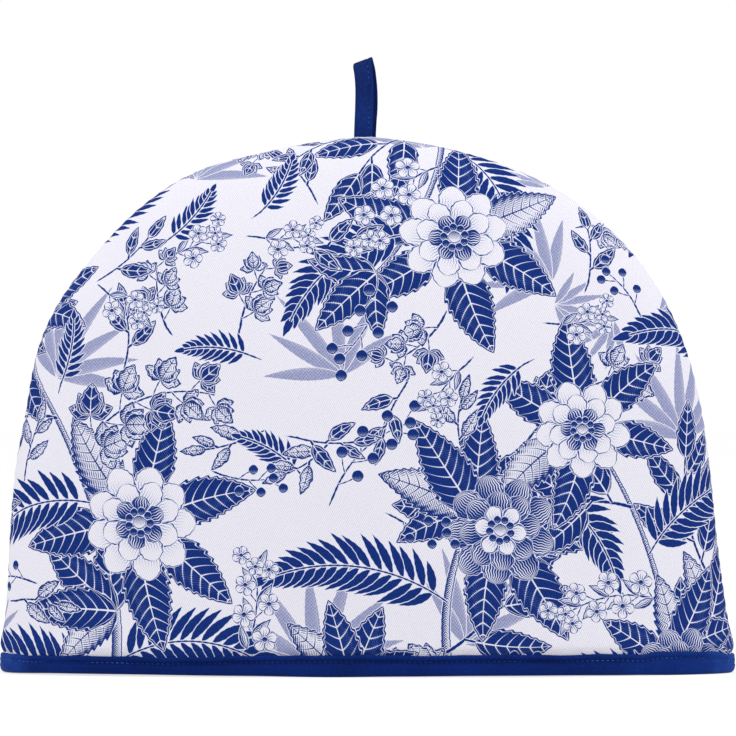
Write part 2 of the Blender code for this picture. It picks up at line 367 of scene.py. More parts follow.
def along_hem(angle, table):
    """Reads a table of places and heights along the hem, easing from one place to the next."""
    places, heights = np.array(table).T
    x = BINDING_HALF_WIDTH * np.cos(angle)
    k = np.clip(np.searchsorted(places, x) - 1, 0, len(places) - 2)
    share = smoothstep((x - places[k]) / (places[k + 1] - places[k]))
    return blend(heights[k], heights[k + 1], share)


def seam_hold(angle):
    """How hard the strip's stitching draws it in: firmly, but hardly at all round the ends."""
    return 1.0 - 0.85 * np.abs(np.cos(angle)) ** 6


def foot_lift(angle):
    """How far the strip's foot arches up off the table, soft as it is."""
    return along_hem(angle, FOOT_LIFT)


def binding_height(angle):
    """The strip is folded a little deeper in the middle of each panel than at the sides."""
    middle = np.abs(np.sin(angle)) ** 1.5
    wave = BINDING_WAVE * np.sin(BINDING_WAVES * angle + 0.6)
    return blend(BINDING_END_HEIGHT, BINDING_MIDDLE_HEIGHT, middle) + wave + along_hem(angle, EDGE_RISE)


def skirt_rows(across):
    """Rows of the face below the arch, tucked into the binding and swelling out above it."""
    base = arch_patch(across, np.array((0.0,)))[0]
    turn = (base[:, 0] - middle_x(SKIRT_TOP)) / arch_reach(SKIRT_TOP)
    angle = np.arccos(np.clip(turn, -1.0, 1.0))
    held = binding_height(angle) - SKIRT_TUCK
    bulge_run = np.minimum(BULGE_RUN, SKIRT_TOP - held)
    rows = []
    for share in np.linspace(0.0, 1.0, SKIRT_ROWS + 1)[:-1]:
        z = blend(SKIRT_FOOT + foot_lift(angle), SKIRT_TOP, share)
        inner_x, inner_y = ring_point(angle, BINDING_CLOTH + GAP)
        outer_x = middle_x(z) + arch_reach(z) * turn
        outer_y = stand_out(outer_x, z)
        out = smoothstep((z - held) / bulge_run)
        rows.append(np.stack((blend(inner_x, outer_x, out), blend(inner_y, outer_y, out), z), axis=-1))
    return np.stack(rows)


def face_normals(points):
    """Outward normals of a grid of points, rows going up and columns to the right."""
    along_row = np.gradient(points, axis=1)
    along_column = np.gradient(points, axis=0)
    normal = np.cross(along_column, along_row)
    size = np.linalg.norm(normal, axis=-1, keepdims=True)
    return normal / np.maximum(size, 1e-12)


def seam_run(x, z):
    """How far along the arch seam the nearest stretch of it lies, for points of the face."""
    seam = arch_seam()
    middle_z = 0.07
    seam_way = np.arctan2(seam[:, 1] - middle_z, seam[:, 0])
    way = np.arctan2(z - middle_z, x)
    seam_way, way = [np.where(w < -0.5 * math.pi, w + math.tau, w) for w in (seam_way, way)]
    return np.interp(way, seam_way[::-1], running_length(seam)[::-1])


def seam_wander(x, z):
    """How far out the seam wanders, at points of the face, by their way from the arch's middle."""
    way = np.degrees(np.arctan2(z - WANDER_MIDDLE, x))
    return sum(out * np.exp(-(((way - at) / spread) ** 2)) for at, spread, out in SEAM_WANDER)


def soften(points, seed):
    """Adds what sewing and filling do to the cloth: the dip and crimp along the seam, soft swells."""
    x, y, z = points[..., 0], points[..., 1], points[..., 2]
    normal = face_normals(points)
    above = smoothstep((z - SKIRT_TOP) / SKIRT_TOP)
    dip = SEAM_DIP * above * np.exp(-((y / SEAM_DIP_REACH) ** 2))
    run = seam_run(x, z)
    crimp = CRIMP_HEIGHT * drifting_wave(run, CRIMP_PITCH, CRIMP_DRIFT, 2.0)
    crimp = crimp * above * np.exp(-y / CRIMP_REACH) * smoothstep(y / CRIMP_START)
    swell = SWELL_HEIGHT * waves(x, z, SWELL_LENGTH, seed) * above * smoothstep(y / SWELL_START)
    over_hem = np.exp(-(((z - SKIRT_TOP) / PULL_BAND) ** 2)) * smoothstep((z - PULL_FOOT) / PULL_START)
    pull = PULL_HEIGHT * drifting_wave(x, PULL_PITCH, PULL_DRIFT, 1.7) * over_hem
    moved = points + normal * (crimp + swell + pull - dip)[..., None]
    away = np.stack((x, 0.0 * y, z - WANDER_MIDDLE), axis=-1)
    away = away / np.maximum(np.linalg.norm(away, axis=-1, keepdims=True), 1e-6)
    wander = seam_wander(x, z) * above * np.exp(-((y / WANDER_REACH) ** 2))
    moved = moved + away * wander[..., None]
    moved[:, (0, -1), 1] = 0.0
    moved[-1, :, 1] = 0.0
    return moved


def panel_face(seed):
    """A panel's outer face with its skirt as grids of x, depth, z: drawn true, and softened."""
    middle = np.array((0.5,))
    across = even_shares(COLUMNS, lambda s: on_face(arch_patch(s, middle)[0]))
    up = even_shares(ARCH_ROWS, lambda s: on_face(arch_patch(middle, s)[:, 0]))
    arch = on_face(arch_patch(across, up))
    points = np.concatenate((skirt_rows(across), arch))
    return points, soften(points, seed)


# ---- the flat cloth under the print -----------------------------------------------------------


def table_value(table, row, column):
    """Reads a table between its places, row and column running from 0 to 1."""
    r = np.clip(row, 0.0, 1.0) * (table.shape[0] - 1)
    c = np.clip(column, 0.0, 1.0) * (table.shape[1] - 1)
    r0 = np.minimum(r.astype(int), table.shape[0] - 2)
    c0 = np.minimum(c.astype(int), table.shape[1] - 2)
    fr, fc = r - r0, c - c0
    low = blend(table[r0, c0], table[r0, c0 + 1], fc)
    high = blend(table[r0 + 1, c0], table[r0 + 1, c0 + 1], fc)
    return blend(low, high, fr)


def extra_cloth(out, z):
    """Metres of cloth beyond the flat distance, from the middle of the hem to out, z on the face.

    It is measured along straight rays over the face; out is the distance from the middle line.
    """
    rim = arch_seam(foot=0.0)
    rim = rim[len(rim) // 2 :][::-1]
    rim_x = rim[:, 0] - middle_x(rim[:, 1])
    rim_way = np.arctan2(rim[:, 1], rim_x)
    rim_reach = np.hypot(rim_x, rim[:, 1])
    quarter = 0.5 * math.pi
    ways = np.linspace(0.0, quarter, 181)[:, None]
    turn = np.linspace(0.0, quarter, 301)[None]
    reach = np.interp(ways, rim_way, rim_reach) * np.sin(turn)
    side, rise = reach * np.cos(ways), reach * np.sin(ways)
    depth = stand_out(middle_x(rise) + side, rise)
    table = running_length(np.stack((reach, depth), axis=-1)) - reach
    way = np.arctan2(z, out)
    share = np.hypot(out, z) / np.interp(way, rim_way, rim_reach)
    return table_value(table, way / quarter, np.arcsin(np.clip(share, 0.0, 1.0)) / quarter)


def cloth_place(x, z):
    """Where points of the face lie on the flat cloth, in millimetres from the middle of the hem.

    The cloth lies flat in the middle and runs on square to the arch where the face turns away.
    """
    from_middle = x - middle_x(z)
    out = np.abs(from_middle)
    level = np.maximum(z, 0.0)
    extra = extra_cloth(out, level)
    reach = side_reach(z)
    to_side = SHOULDER_POWER * (out / reach) ** (SHOULDER_POWER - 1.0) / reach
    to_crown = CROWN_POWER * (level / ARCH_HEIGHT) ** (CROWN_POWER - 1.0) / ARCH_HEIGHT
    size = np.maximum(np.hypot(to_side, to_crown), 1e-9)
    u = np.sign(from_middle) * (out + extra * to_side / size)
    return 1000.0 * u, 1000.0 * (z + extra * to_crown / size)


# ---- the printed design -----------------------------------------------------------------------
# The print is a list of strokes on the flat cloth, in millimetres. A stroke is an arc with a width:
# it starts at x, y, runs along its heading for its length while it turns by its bend, and is
# half_width wide to each side at its widest. Its look names a row of LOOKS.

CLOTH_REPEAT = (344.0, 318.0)
PALE, STEM, LEAF, FLOWER = range(4)
LAYERS = 5
HALO = 0.35
WAVY_EDGE = 0.07

# point: how sharply the ends narrow. widest: where the widest place lies, 1 in the middle and less
# towards the foot. lobes: depth of the edge's lobes. line: the outline in mm. fill: share of ink.
# side: how much darker one side is. foot: how much darker the foot is. hatch: pitch in mm, and
# along: 1 where the hatching runs from foot to tip. vein: pitch of the side veins in mm. pale: 1
# for the pale ink. rib: 1 where there is a middle rib with side veins. Each key stands with the
# number that brings its values down to between 0 and 1.
LOOK_KEYS = (
    ("point", 1.0), ("widest", 2.0), ("lobes", 1.0), ("line", 1.0),
    ("fill", 2.0), ("side", 1.0), ("foot", 1.0), ("hatch", 2.0),
    ("along", 1.0), ("vein", 10.0), ("pale", 1.0), ("rib", 1.0),
)
LOOK_ROWS = {
    "stem": (0.0, 1.0, 0.0, 0.50, 0.50, 0.60, 0.0, 1.05, 0.0, 0.0, 0.0, 0.0),
    "twig": (0.0, 1.0, 0.0, 0.30, 1.60, 0.0, 0.0, 0.80, 0.0, 0.0, 0.0, 0.0),
    "cut_foot": (0.70, 0.90, 0.0, 0.30, 1.60, 0.0, 0.0, 0.80, 0.0, 0.0, 0.0, 0.0),
    "dark_leaf": (0.80, 0.72, 0.10, 0.55, 1.10, 0.26, 0.16, 1.15, 0.0, 5.6, 0.0, 1.0),
    "light_leaf": (0.80, 0.72, 0.14, 0.65, 0.18, 0.34, 0.34, 1.25, 0.0, 5.0, 0.0, 1.0),
    "blade": (0.95, 0.80, 0.0, 0.30, 1.60, 0.0, 0.0, 0.70, 1.0, 0.0, 0.0, 0.0),
    "open_blade": (0.95, 0.80, 0.0, 0.50, 0.40, 0.60, 0.30, 0.90, 1.0, 0.0, 0.0, 0.0),
    "pale_blade": (0.95, 0.80, 0.0, 0.26, 1.10, 0.40, 0.20, 0.85, 1.0, 0.0, 1.0, 0.0),
    "petal": (0.55, 1.55, 0.07, 0.58, 0.02, 0.10, 0.85, 1.40, 1.0, 5.0, 0.0, 0.0),
    "dark_petal": (0.55, 1.55, 0.07, 0.58, 0.74, 0.24, 0.80, 1.30, 1.0, 5.0, 0.0, 0.0),
    "berry": (0.50, 1.0, 0.0, 0.50, 0.30, 0.60, 0.0, 0.75, 0.0, 0.0, 0.0, 0.0),
    "dark_berry": (0.50, 1.0, 0.0, 0.50, 1.05, 0.55, 0.0, 0.75, 0.0, 0.0, 0.0, 0.0),
}
LOOKS = [dict(zip([key for key, _ in LOOK_KEYS], row)) for row in LOOK_ROWS.values()]
LOOK_NUMBER = {name: k for k, name in enumerate(LOOK_ROWS)}
LOOK_PLACES = 16


class Print:
    """Collects the strokes of the design."""

    def __init__(self, seed):
        self.strokes = []
        self.dice = np.random.default_rng(seed)

    def vary(self, amount):
        return float(self.dice.uniform(-amount, amount))

    def stroke(self, level, place, length, half_width, look, bend=0.0):
        """Adds a stroke and returns the place, x, y and heading, at its end."""
        x, y, heading = place
        seed = float(self.dice.random())
        row = (level, x, y, heading, length, bend, half_width, LOOK_NUMBER[look], seed)
        self.strokes.append(row)
        return along(place, length, bend, 1.0)


def along(place, length, bend, share):
    """The place at a share of an arc's length."""
    x, y, heading = place
    turn = bend * share
    run = length * share
    chord = run if abs(turn) < 1e-4 else 2.0 * run / turn * math.sin(0.5 * turn)
    way = heading + 0.5 * turn
    return (x + chord * math.cos(way), y + chord * math.sin(way), heading + turn)


def turned(place, turn, ahead=0.0, aside=0.0):
    """A place moved ahead and to its left, and then turned."""
    x, y, heading = place
    c, s = math.cos(heading), math.sin(heading)
    return (x + ahead * c - aside * s, y + ahead * s + aside * c, heading + turn)


def stem(pr, place, length, bend, wide, narrow, look="twig", steps=4):
    """A tapering stem in short arcs that wander a little. Returns the places along it."""
    places = [place]
    for k in range(steps):
        width = blend(wide, narrow, k / (steps - 1))
        turn = bend / steps + pr.vary(0.04)
        place = pr.stroke(STEM, place, length / steps, width, look, turn)
        places.append(place)
    return places


def on_stem(places, spot, length, bend):
    """The place that lies spot arcs along a stem."""
    steps = len(places) - 1
    near = int(spot)
    return along(places[near], length / steps, bend / steps, spot - near)


def growing(places, length, bend, count, first, spare=0.0, short=0.0):
    """What grows from a stem, on its two sides in turn: the share, place and side of each.

    First says how far up the first one stands, spare leaves room above the last one, and short
    keeps the last one off the very tip.
    """
    for k in range(count):
        share = (k + first) / (count + spare)
        spot = share * (len(places) - 1 - short)
        yield share, on_stem(places, spot, length, bend), 1 if k % 2 else -1


def cut_foot(pr, place, length, width):
    """The foot of a loose sprig runs out to a point behind the place where its stem starts."""
    pr.stroke(STEM, turned(place, math.pi, 0.45 * length), length, width, "cut_foot", pr.vary(0.3))


def fern(pr, place, length, bend, pairs, reach):
    """An arching rib with narrow leaflets on both sides, longest a third of the way up."""
    for k in range(pairs):
        share = (k + 1.5) / (pairs + 1.5)
        at = along(place, length, bend, share)
        size = reach * (0.25 + 0.75 * math.sin(math.pi * (0.12 + 0.84 * share) ** 0.8))
        for side in (1, -1):
            lean = side * (1.15 - 0.55 * share) + pr.vary(0.07)
            leaflet = size * (1.0 + pr.vary(0.08))
            pr.stroke(LEAF, turned(at, lean), leaflet, 0.085 * reach + 0.28, "blade", -0.35 * side)
    pr.stroke(LEAF, along(place, length, bend, 0.97), 0.55 * reach, 0.08 * reach + 0.4, "blade")
    pr.stroke(LEAF, place, length, 0.42, "twig", bend)


def broad_leaf(pr, place, length, width, look, bend):
    """One wide leaf on a short stalk."""
    foot = pr.stroke(LEAF, place, 0.14 * length, 0.55, "twig", 0.1 * bend)
    pr.stroke(LEAF, foot, length, 0.5 * width, look, bend)


def leafy_branch(pr, place, length, bend, count, leaf, look, wide=0.8):
    """A branch with leaves set alternately and one at its tip."""
    places = stem(pr, place, length, bend, wide, 0.4, steps=8)
    for share, at, side in growing(places, length, bend, count, 1.0, spare=0.6):
        size = leaf * (1.05 - 0.35 * share) * (1.0 + pr.vary(0.08))
        broad_leaf(pr, turned(at, side * (0.95 - 0.25 * share)), size, 0.46 * size, look, -0.3 * side)
    broad_leaf(pr, places[-1], 0.8 * leaf, 0.36 * leaf, look, pr.vary(0.2))


def blades(pr, place, count, spread, length):
    """A fan of pale narrow leaves from one point."""
    for k in range(count):
        share = k / (count - 1) - 0.5
        size = length * (1.0 - 0.9 * share * share) * (1.0 + pr.vary(0.1))
        at = turned(place, spread * share + pr.vary(0.05))
        width = 0.055 * length + 0.5
        pr.stroke(PALE, at, size, width, "pale_blade", 0.5 * share + pr.vary(0.15))


def ring_of_petals(pr, x, y, count, inner, reach, width, look, phase):
    """Petals standing out from a circle round x, y."""
    for k in range(count):
        way = phase + math.tau * k / count + pr.vary(0.05)
        size = reach * (1.0 + pr.vary(0.05))
        at = (x + inner * math.cos(way), y + inner * math.sin(way), way)
        pr.stroke(FLOWER, at, size, 0.5 * width, look, pr.vary(0.12))


def berry(pr, x, y, radius, look="dark_berry"):
    pr.stroke(FLOWER, (x - radius, y, 0.0), 2.0 * radius, radius, look)


def open_flower(pr, x, y, size, phase, dark):
    """A many-petalled flower seen from the front, with a ring of dots round its middle."""
    outer, inner = ("dark_petal", "petal") if dark else ("petal", "dark_petal")
    r = 0.5 * size
    ring_of_petals(pr, x, y, 9, 0.22 * r, 0.80 * r, 0.56 * r, outer, phase)
    ring_of_petals(pr, x, y, 8, 0.14 * r, 0.60 * r, 0.46 * r, outer, phase + 0.35)
    ring_of_petals(pr, x, y, 6, 0.08 * r, 0.40 * r, 0.34 * r, inner, phase + 0.1)
    for k in range(9):
        way = math.tau * k / 9 + phase
        berry(pr, x + 0.20 * r * math.cos(way), y + 0.20 * r * math.sin(way), 0.07 * r)
    berry(pr, x, y, 0.12 * r, "berry")


def blossom(pr, place, size):
    """A small flower of five petals."""
    x, y, _ = place
    r = 0.5 * size
    ring_of_petals(pr, x, y, 5, 0.10 * r, 0.88 * r, 0.92 * r, "petal", pr.vary(3.0))
    berry(pr, x, y, 0.20 * r)


def berry_spray(pr, place, length, bend, count, radius):
    """A thin stem with dark berries on short stalks."""
    places = stem(pr, place, length, bend, 0.5, 0.3)
    for _, at, side in growing(places, length, bend, count, 1.0, short=0.001):
        end = pr.stroke(STEM, turned(at, side * 0.9), radius * 2.6, 0.28, "twig", -0.3 * side)
        berry(pr, *turned(end, 0.0, radius)[:2], radius)
    berry(pr, *turned(places[-1], 0.0, radius)[:2], radius)


def blossom_spray(pr, place, length, bend, count, size):
    """A thin stem with small flowers and narrow leaves."""
    places = stem(pr, place, length, bend, 0.5, 0.35)
    for share, at, side in growing(places, length, bend, count, 0.8):
        end = pr.stroke(STEM, turned(at, side * 0.8), 0.75 * size, 0.28, "twig", -0.3 * side)
        pr.stroke(LEAF, turned(at, -side * 0.8), 0.9 * size, 0.16 * size, "open_blade", 0.3 * side)
        blossom(pr, end, size * (1.0 - 0.3 * share))
    blossom(pr, places[-1], 0.7 * size)


def trailing_leaves(pr, place, length, bend, count, size):
    """A thin trailing stem with bunches of small lobed leaves."""
    places = stem(pr, place, length, bend, 0.6, 0.35, steps=6)
    stalks = growing(places, length, bend, count, 0.7, short=0.01)
    for k, (_, at, side) in enumerate(stalks):
        leaf = size * (1.0 - 0.35 * k / count)
        end = pr.stroke(STEM, turned(at, side), 0.7 * leaf, 0.3, "twig", -0.3 * side)
        look = "dark_leaf" if k % 3 == 1 else "light_leaf"
        for lean, share in ((1.35, 0.8), (-1.35, 0.8), (0.65, 0.8), (-0.65, 0.8), (0.0, 1.0)):
            reach = leaf * share
            pr.stroke(LEAF, turned(end, lean), reach, 0.38 * reach, look, pr.vary(0.3))


def vine(pr, place, length, bend, wide, items):
    """A main stem with things growing from it, each a (share, turn, function, arguments) row."""
    places = stem(pr, place, length, bend, wide, 0.45 * wide, "stem", 10)
    for share, turn, grow, values in items:
        at = on_stem(places, share * (len(places) - 1.01), length, bend)
        grow(pr, turned(at, math.radians(turn)), *values)
    return places


def rosette(pr, place, size, dark):
    """A large flower on a short stalk with leaves behind it."""
    end = pr.stroke(STEM, place, 0.45 * size, 0.8, "stem", 0.2)
    for k, lean in enumerate((2.3, 1.3, 0.35, -0.6, -1.6, -2.5)):
        leaf = size * (0.88 + pr.vary(0.1))
        look = "light_leaf" if k == 1 else "dark_leaf"
        way = lean + pr.vary(0.12)
        at = turned(end, way, 0.24 * size * math.cos(lean), 0.24 * size * math.sin(lean))
        pr.stroke(LEAF, at, leaf, 0.25 * leaf, look, pr.vary(0.4))
    open_flower(pr, end[0], end[1], size, pr.vary(1.0), dark)


def leaf_spray(pr, place, count, spread, length):
    """Large leaves fanning from one point, the middle ones in front."""
    order = sorted(range(count), key=lambda k: -abs(k - 0.5 * (count - 1)))
    for k in order:
        share = k / (count - 1) - 0.5
        size = length * (1.0 - 0.7 * share * share) * (1.0 + pr.vary(0.06))
        at = turned(place, spread * share + pr.vary(0.06))
        look = "light_leaf" if k % 4 == 3 else "dark_leaf"
        pr.stroke(LEAF, at, size, 0.23 * size, look, 0.7 * share + pr.vary(0.15))


def fill_gaps(pr, clear):
    """Small sprigs wherever the cloth is bare for more than clear mm round a point."""
    wide, high = CLOTH_REPEAT
    kinds = (
        (leafy_branch, (26, 0.4, 3, 17, "dark_leaf", 0.5), 0.5),
        (blades, (6, 2.0, 26), 0.0),
        (blossom_spray, (26, 0.5, 4, 11), 0.5),
        (trailing_leaves, (34, -0.6, 5, 11), 0.6),
        (berry_spray, (24, 0.5, 5, 2.3), 0.5),
        (leafy_branch, (24, -0.4, 3, 16, "light_leaf", 0.5), 0.5),
        (fern, (34, 0.6, 9, 11), 0.42),
        (leafy_branch, (28, 0.4, 3, 18, "dark_leaf", 0.5), 0.5),
    )
    step = 9.0
    columns = int(wide / step)
    number = 0
    for i in range(columns):
        for j in range(int(high / step)):
            k = (i * 7 + j * 13) % columns
            x = (k + 0.5) * step - 0.5 * wide + pr.vary(3.0)
            y = (j + 0.5) * step + pr.vary(3.0)
            taken = np.array([along(row[1:4], row[4], row[5], 0.5)[:2] for row in pr.strokes])
            dx, dy = taken[:, 0] - x, taken[:, 1] - y
            turns = np.round(dx / wide)
            dx = dx - turns * wide
            dy = dy + 0.5 * high * (turns % 2)
            dy = dy - np.round(dy / high) * high
            if np.hypot(dx, dy).min() > clear:
                grow, values, width = kinds[number % len(kinds)]
                foot = turned((x, y, 0.5 * math.pi), pr.vary(2.6), -10.0)
                if width:
                    cut_foot(pr, foot, 9.0, width)
                grow(pr, foot, *values)
                number += 1


def draw_cloth():
    """One repeat of the design."""
    pr = Print(seed=23)
    up = math.radians
    for x, y, heading, count, spread, length in (
        (-24, 8, 95, 7, 130, 56),
        (46, 22, 60, 6, 110, 48),
        (158, 120, 95, 7, 130, 50),
        (-152, 150, 60, 7, 130, 50),
        (92, 196, 140, 6, 120, 46),
        (-10, 150, 110, 6, 130, 48),
        (-84, 250, 70, 6, 120, 46),
        (30, 268, 100, 6, 120, 42),
    ):
        blades(pr, (x, y, up(heading)), count, up(spread), length)
    west = vine(
        pr, (-128, -22, up(72)), 176, up(46), 3.0,
        (
            (0.08, 62, fern, (96, up(60), 17, 22)),
            (0.20, -50, fern, (90, up(-80), 16, 22)),
            (0.34, 66, leaf_spray, (4, up(110), 50)),
            (0.48, -58, rosette, (54, False)),
            (0.64, 60, fern, (84, up(66), 15, 20)),
            (0.76, -52, trailing_leaves, (82, up(-70), 9, 16)),
            (0.90, 44, leafy_branch, (56, up(40), 5, 36, "light_leaf")),
        ),
    )
    vine(
        pr, west[-1], 150, up(-105), 1.7,
        (
            (0.14, 60, rosette, (46, True)),
            (0.30, -46, leaf_spray, (4, up(100), 48)),
            (0.46, 50, leafy_branch, (58, up(-40), 5, 36, "dark_leaf")),
            (0.60, -60, fern, (84, up(60), 15, 20)),
            (0.76, 52, trailing_leaves, (64, up(-50), 8, 15)),
            (0.90, -50, blossom_spray, (50, up(50), 7, 13)),
            (1.00, 0, leaf_spray, (3, up(80), 44)),
        ),
    )
    vine(
        pr, (46, -20, up(112)), 150, up(-64), 2.6,
        (
            (0.14, 62, trailing_leaves, (78, up(60), 9, 15)),
            (0.26, -64, leafy_branch, (60, up(40), 5, 40, "dark_leaf")),
            (0.42, 62, fern, (92, up(60), 16, 21)),
            (0.58, -48, rosette, (52, True)),
            (0.72, 58, leaf_spray, (5, up(130), 50)),
            (0.86, -60, fern, (80, up(-70), 15, 20)),
            (1.00, 10, trailing_leaves, (72, up(-50), 8, 15)),
        ),
    )
    vine(
        pr, (40, 302, up(-82)), 112, up(-50), 2.0,
        (
            (0.10, -66, leafy_branch, (56, up(30), 4, 38, "dark_leaf")),
            (0.26, 62, fern, (86, up(-70), 16, 21)),
            (0.42, -54, blossom_spray, (54, up(50), 7, 13)),
            (0.60, 54, rosette, (52, False)),
            (0.78, -50, fern, (74, up(60), 15, 19)),
            (0.94, 40, berry_spray, (50, up(-50), 8, 2.8)),
            (1.00, -6, leaf_spray, (3, up(90), 40)),
        ),
    )
    vine(
        pr, (152, -20, up(86)), 134, up(34), 2.2,
        (
            (0.10, 60, fern, (82, up(60), 15, 20)),
            (0.28, -58, leaf_spray, (4, up(110), 46)),
            (0.46, 54, blossom_spray, (52, up(50), 7, 13)),
            (0.64, -50, fern, (80, up(-60), 15, 20)),
            (0.82, 48, leafy_branch, (56, up(40), 5, 36, "dark_leaf")),
            (1.00, 0, rosette, (46, False)),
        ),
    )
    leaf_spray(pr, (-8, 2, up(100)), 5, up(130), 44)
    cut_foot(pr, (-14, 92, up(70)), 10.0, 0.5)
    berry_spray(pr, (-14, 92, up(70)), 50, up(-50), 8, 2.8)
    blossom_spray(pr, (-60, 14, up(60)), 46, up(40), 6, 13)
    fill_gaps(pr, 15.0)
    return sorted(pr.strokes, key=lambda row: row[0])


def stroke_place(stroke, u, v):
    """How far points of the cloth lie along a stroke and to its left, in millimetres."""
    _, x, y, heading, length, bend, _, _, _ = stroke
    du, dv = u - x, v - y
    if abs(bend) < 1e-3:
        c, s = math.cos(heading), math.sin(heading)
        return du * c + dv * s, dv * c - du * s
    radius = length / bend
    centre_u, centre_v = -radius * math.sin(heading), radius * math.cos(heading)
    to_u, to_v = du - centre_u, dv - centre_v
    turn = np.arctan2(to_v, to_u) - math.atan2(-centre_v, -centre_u)
    turn = (turn + math.pi) % math.tau - math.pi
    return radius * turn, math.copysign(1.0, radius) * (abs(radius) - np.hypot(to_u, to_v))


def stroke_swell(look, share):
    """How wide a stroke is at a share of its length, 1 where it is widest."""
    arch = np.sin(math.pi * np.clip(share, 0.0, 1.0) ** look["widest"])
    return np.maximum(arch, 0.0) ** look["point"]


def repeats_on(stroke, low, high):
    """Copies of a stroke on the repeats of the cloth that reach the piece between two corners."""
    level, x, y, *rest = stroke
    place = (x, y, rest[0])
    line = [along(place, rest[1], rest[2], k / 6) for k in range(7)]
    reach = rest[3] + HALO + WAVY_EDGE
    box_low = np.array((min(p[0] for p in line), min(p[1] for p in line))) - reach
    box_high = np.array((max(p[0] for p in line), max(p[1] for p in line))) + reach
    found = []
    for i in range(-2, 3):
        for j in range(-2, 3):
            move = np.array((i * CLOTH_REPEAT[0], (j + 0.5 * (i % 2)) * CLOTH_REPEAT[1]))
            if np.all(box_high + move > low) and np.all(box_low + move < high):
                copy = (level, x + move[0], y + move[1], *rest)
                found.append((copy, box_low + move, box_high + move))
    return found


def stamp_print(strokes, corners):
    """Gives every face of the cloth the strokes that lie on it, the frontmost first.

    corners holds the cloth's u, v at the four corners of each face. Returns each layer's place
    (share of the length, share of the half width, look) and size (length, half width, seed).
    """
    count = len(corners)
    places = np.zeros((LAYERS, count, 4, 3), np.float32)
    sizes = np.zeros((LAYERS, count, 4, 3), np.float32)
    used = np.zeros(count, int)
    hidden = np.zeros(count, bool)
    low, high = corners.min(axis=1), corners.max(axis=1)
    order = np.argsort(low[:, 0], kind="stable")
    sorted_low = low[order, 0]
    widest_face = float((high[:, 0] - low[:, 0]).max())
    least, most = low.min(axis=0), high.max(axis=0)
    for stroke in reversed(strokes):
        for copy, box_low, box_high in repeats_on(stroke, least, most):
            first = np.searchsorted(sorted_low, box_low[0] - widest_face)
            last = np.searchsorted(sorted_low, box_high[0])
            near = order[first:last]
            near = near[~hidden[near] & (high[near, 0] > box_low[0])]
            near = near[(low[near, 1] < box_high[1]) & (high[near, 1] > box_low[1])]
            if not len(near):
                continue
            _, _, _, _, length, _, half_width, number, seed = copy
            look = LOOKS[number]
            run, left = stroke_place(copy, corners[near, :, 0], corners[near, :, 1])
            swell = stroke_swell(look, run / length)
            reach = half_width * swell.max(axis=1) + HALO + WAVY_EDGE
            meets = (left.min(axis=1) < reach) & (left.max(axis=1) > -reach)
            meets &= (run.min(axis=1) < length) & (run.max(axis=1) > 0.0) & (used[near] < LAYERS)
            inner = half_width * swell * (1.0 - look["lobes"]) - np.abs(left)
            full = (inner > WAVY_EDGE + 0.05 - HALO) & (run > 0.0) & (run < length)
            chosen = near[meets]
            layer = used[chosen]
            places[layer, chosen, :, 0] = run[meets] / length
            places[layer, chosen, :, 1] = left[meets] / half_width
            places[layer, chosen, :, 2] = number
            sizes[layer, chosen] = (length, half_width, seed)
            used[chosen] += 1
            hidden[near[meets & full.all(axis=1)]] = True
    return places, sizes


# ---- finishes ---------------------------------------------------------------------------------


def feed(tree, socket, value):
    """Links a number of the tree to a socket, or sets the socket to a plain value."""
    if isinstance(value, Number):
        value = value.socket
    if isinstance(value, bpy.types.NodeSocket):
        tree.links.new(value, socket)
    else:
        socket.default_value = value


def feed_all(tree, node, **values):
    """Feeds a node's inputs by their names, a name's spaces written as underscores."""
    for title, value in values.items():
        feed(tree, node.inputs[title.replace("_", " ")], value)


def new_node(tree, kind, **values):
    """Adds a node of a kind to the tree and feeds its inputs."""
    node = tree.nodes.new("ShaderNode" + kind)
    feed_all(tree, node, **values)
    return node


class Number:
    """A value in a shader tree. Sums on it add the nodes that work them out."""

    def __init__(self, tree, socket):
        self.tree = tree
        self.socket = socket

    def apply(self, operation, *others, clamp=False):
        made = self.tree.nodes.new("ShaderNodeMath")
        made.operation = operation
        made.use_clamp = clamp
        for place, value in zip(made.inputs, (self, *others)):
            feed(self.tree, place, value)
        return Number(self.tree, made.outputs[0])

    __add__ = partialmethod(apply, "ADD")
    __radd__ = __add__
    __sub__ = partialmethod(apply, "SUBTRACT")
    __rsub__ = partialmethod(apply, "MULTIPLY_ADD", -1.0)
    __mul__ = partialmethod(apply, "MULTIPLY")
    __rmul__ = __mul__
    __truediv__ = partialmethod(apply, "DIVIDE")
    __pow__ = partialmethod(apply, "POWER")
    __abs__ = partialmethod(apply, "ABSOLUTE")
    sine = partialmethod(apply, "SINE")
    clamped = partialmethod(apply, "ADD", 0.0, clamp=True)
    at_least = partialmethod(apply, "MAXIMUM")
    at_most = partialmethod(apply, "MINIMUM")
    above = partialmethod(apply, "GREATER_THAN")

    def edge(self, softness=0.10):
        """0 below zero and 1 above it, with a soft step between them."""
        return self.apply("MULTIPLY_ADD", 1.0 / softness, 0.5, clamp=True)

    def tooth(self):
        """Rises from 0 to 1 and falls again over each whole number."""
        return abs(self.apply("FRACT") - 0.5) * 2.0

    def to(self, other, share):
        """This value blended towards the other."""
        return self + (other - self) * share


def parts(tree, vector):
    """The three numbers of a vector."""
    split = new_node(tree, "SeparateXYZ", Vector=vector)
    return [Number(tree, split.outputs[k]) for k in range(3)]


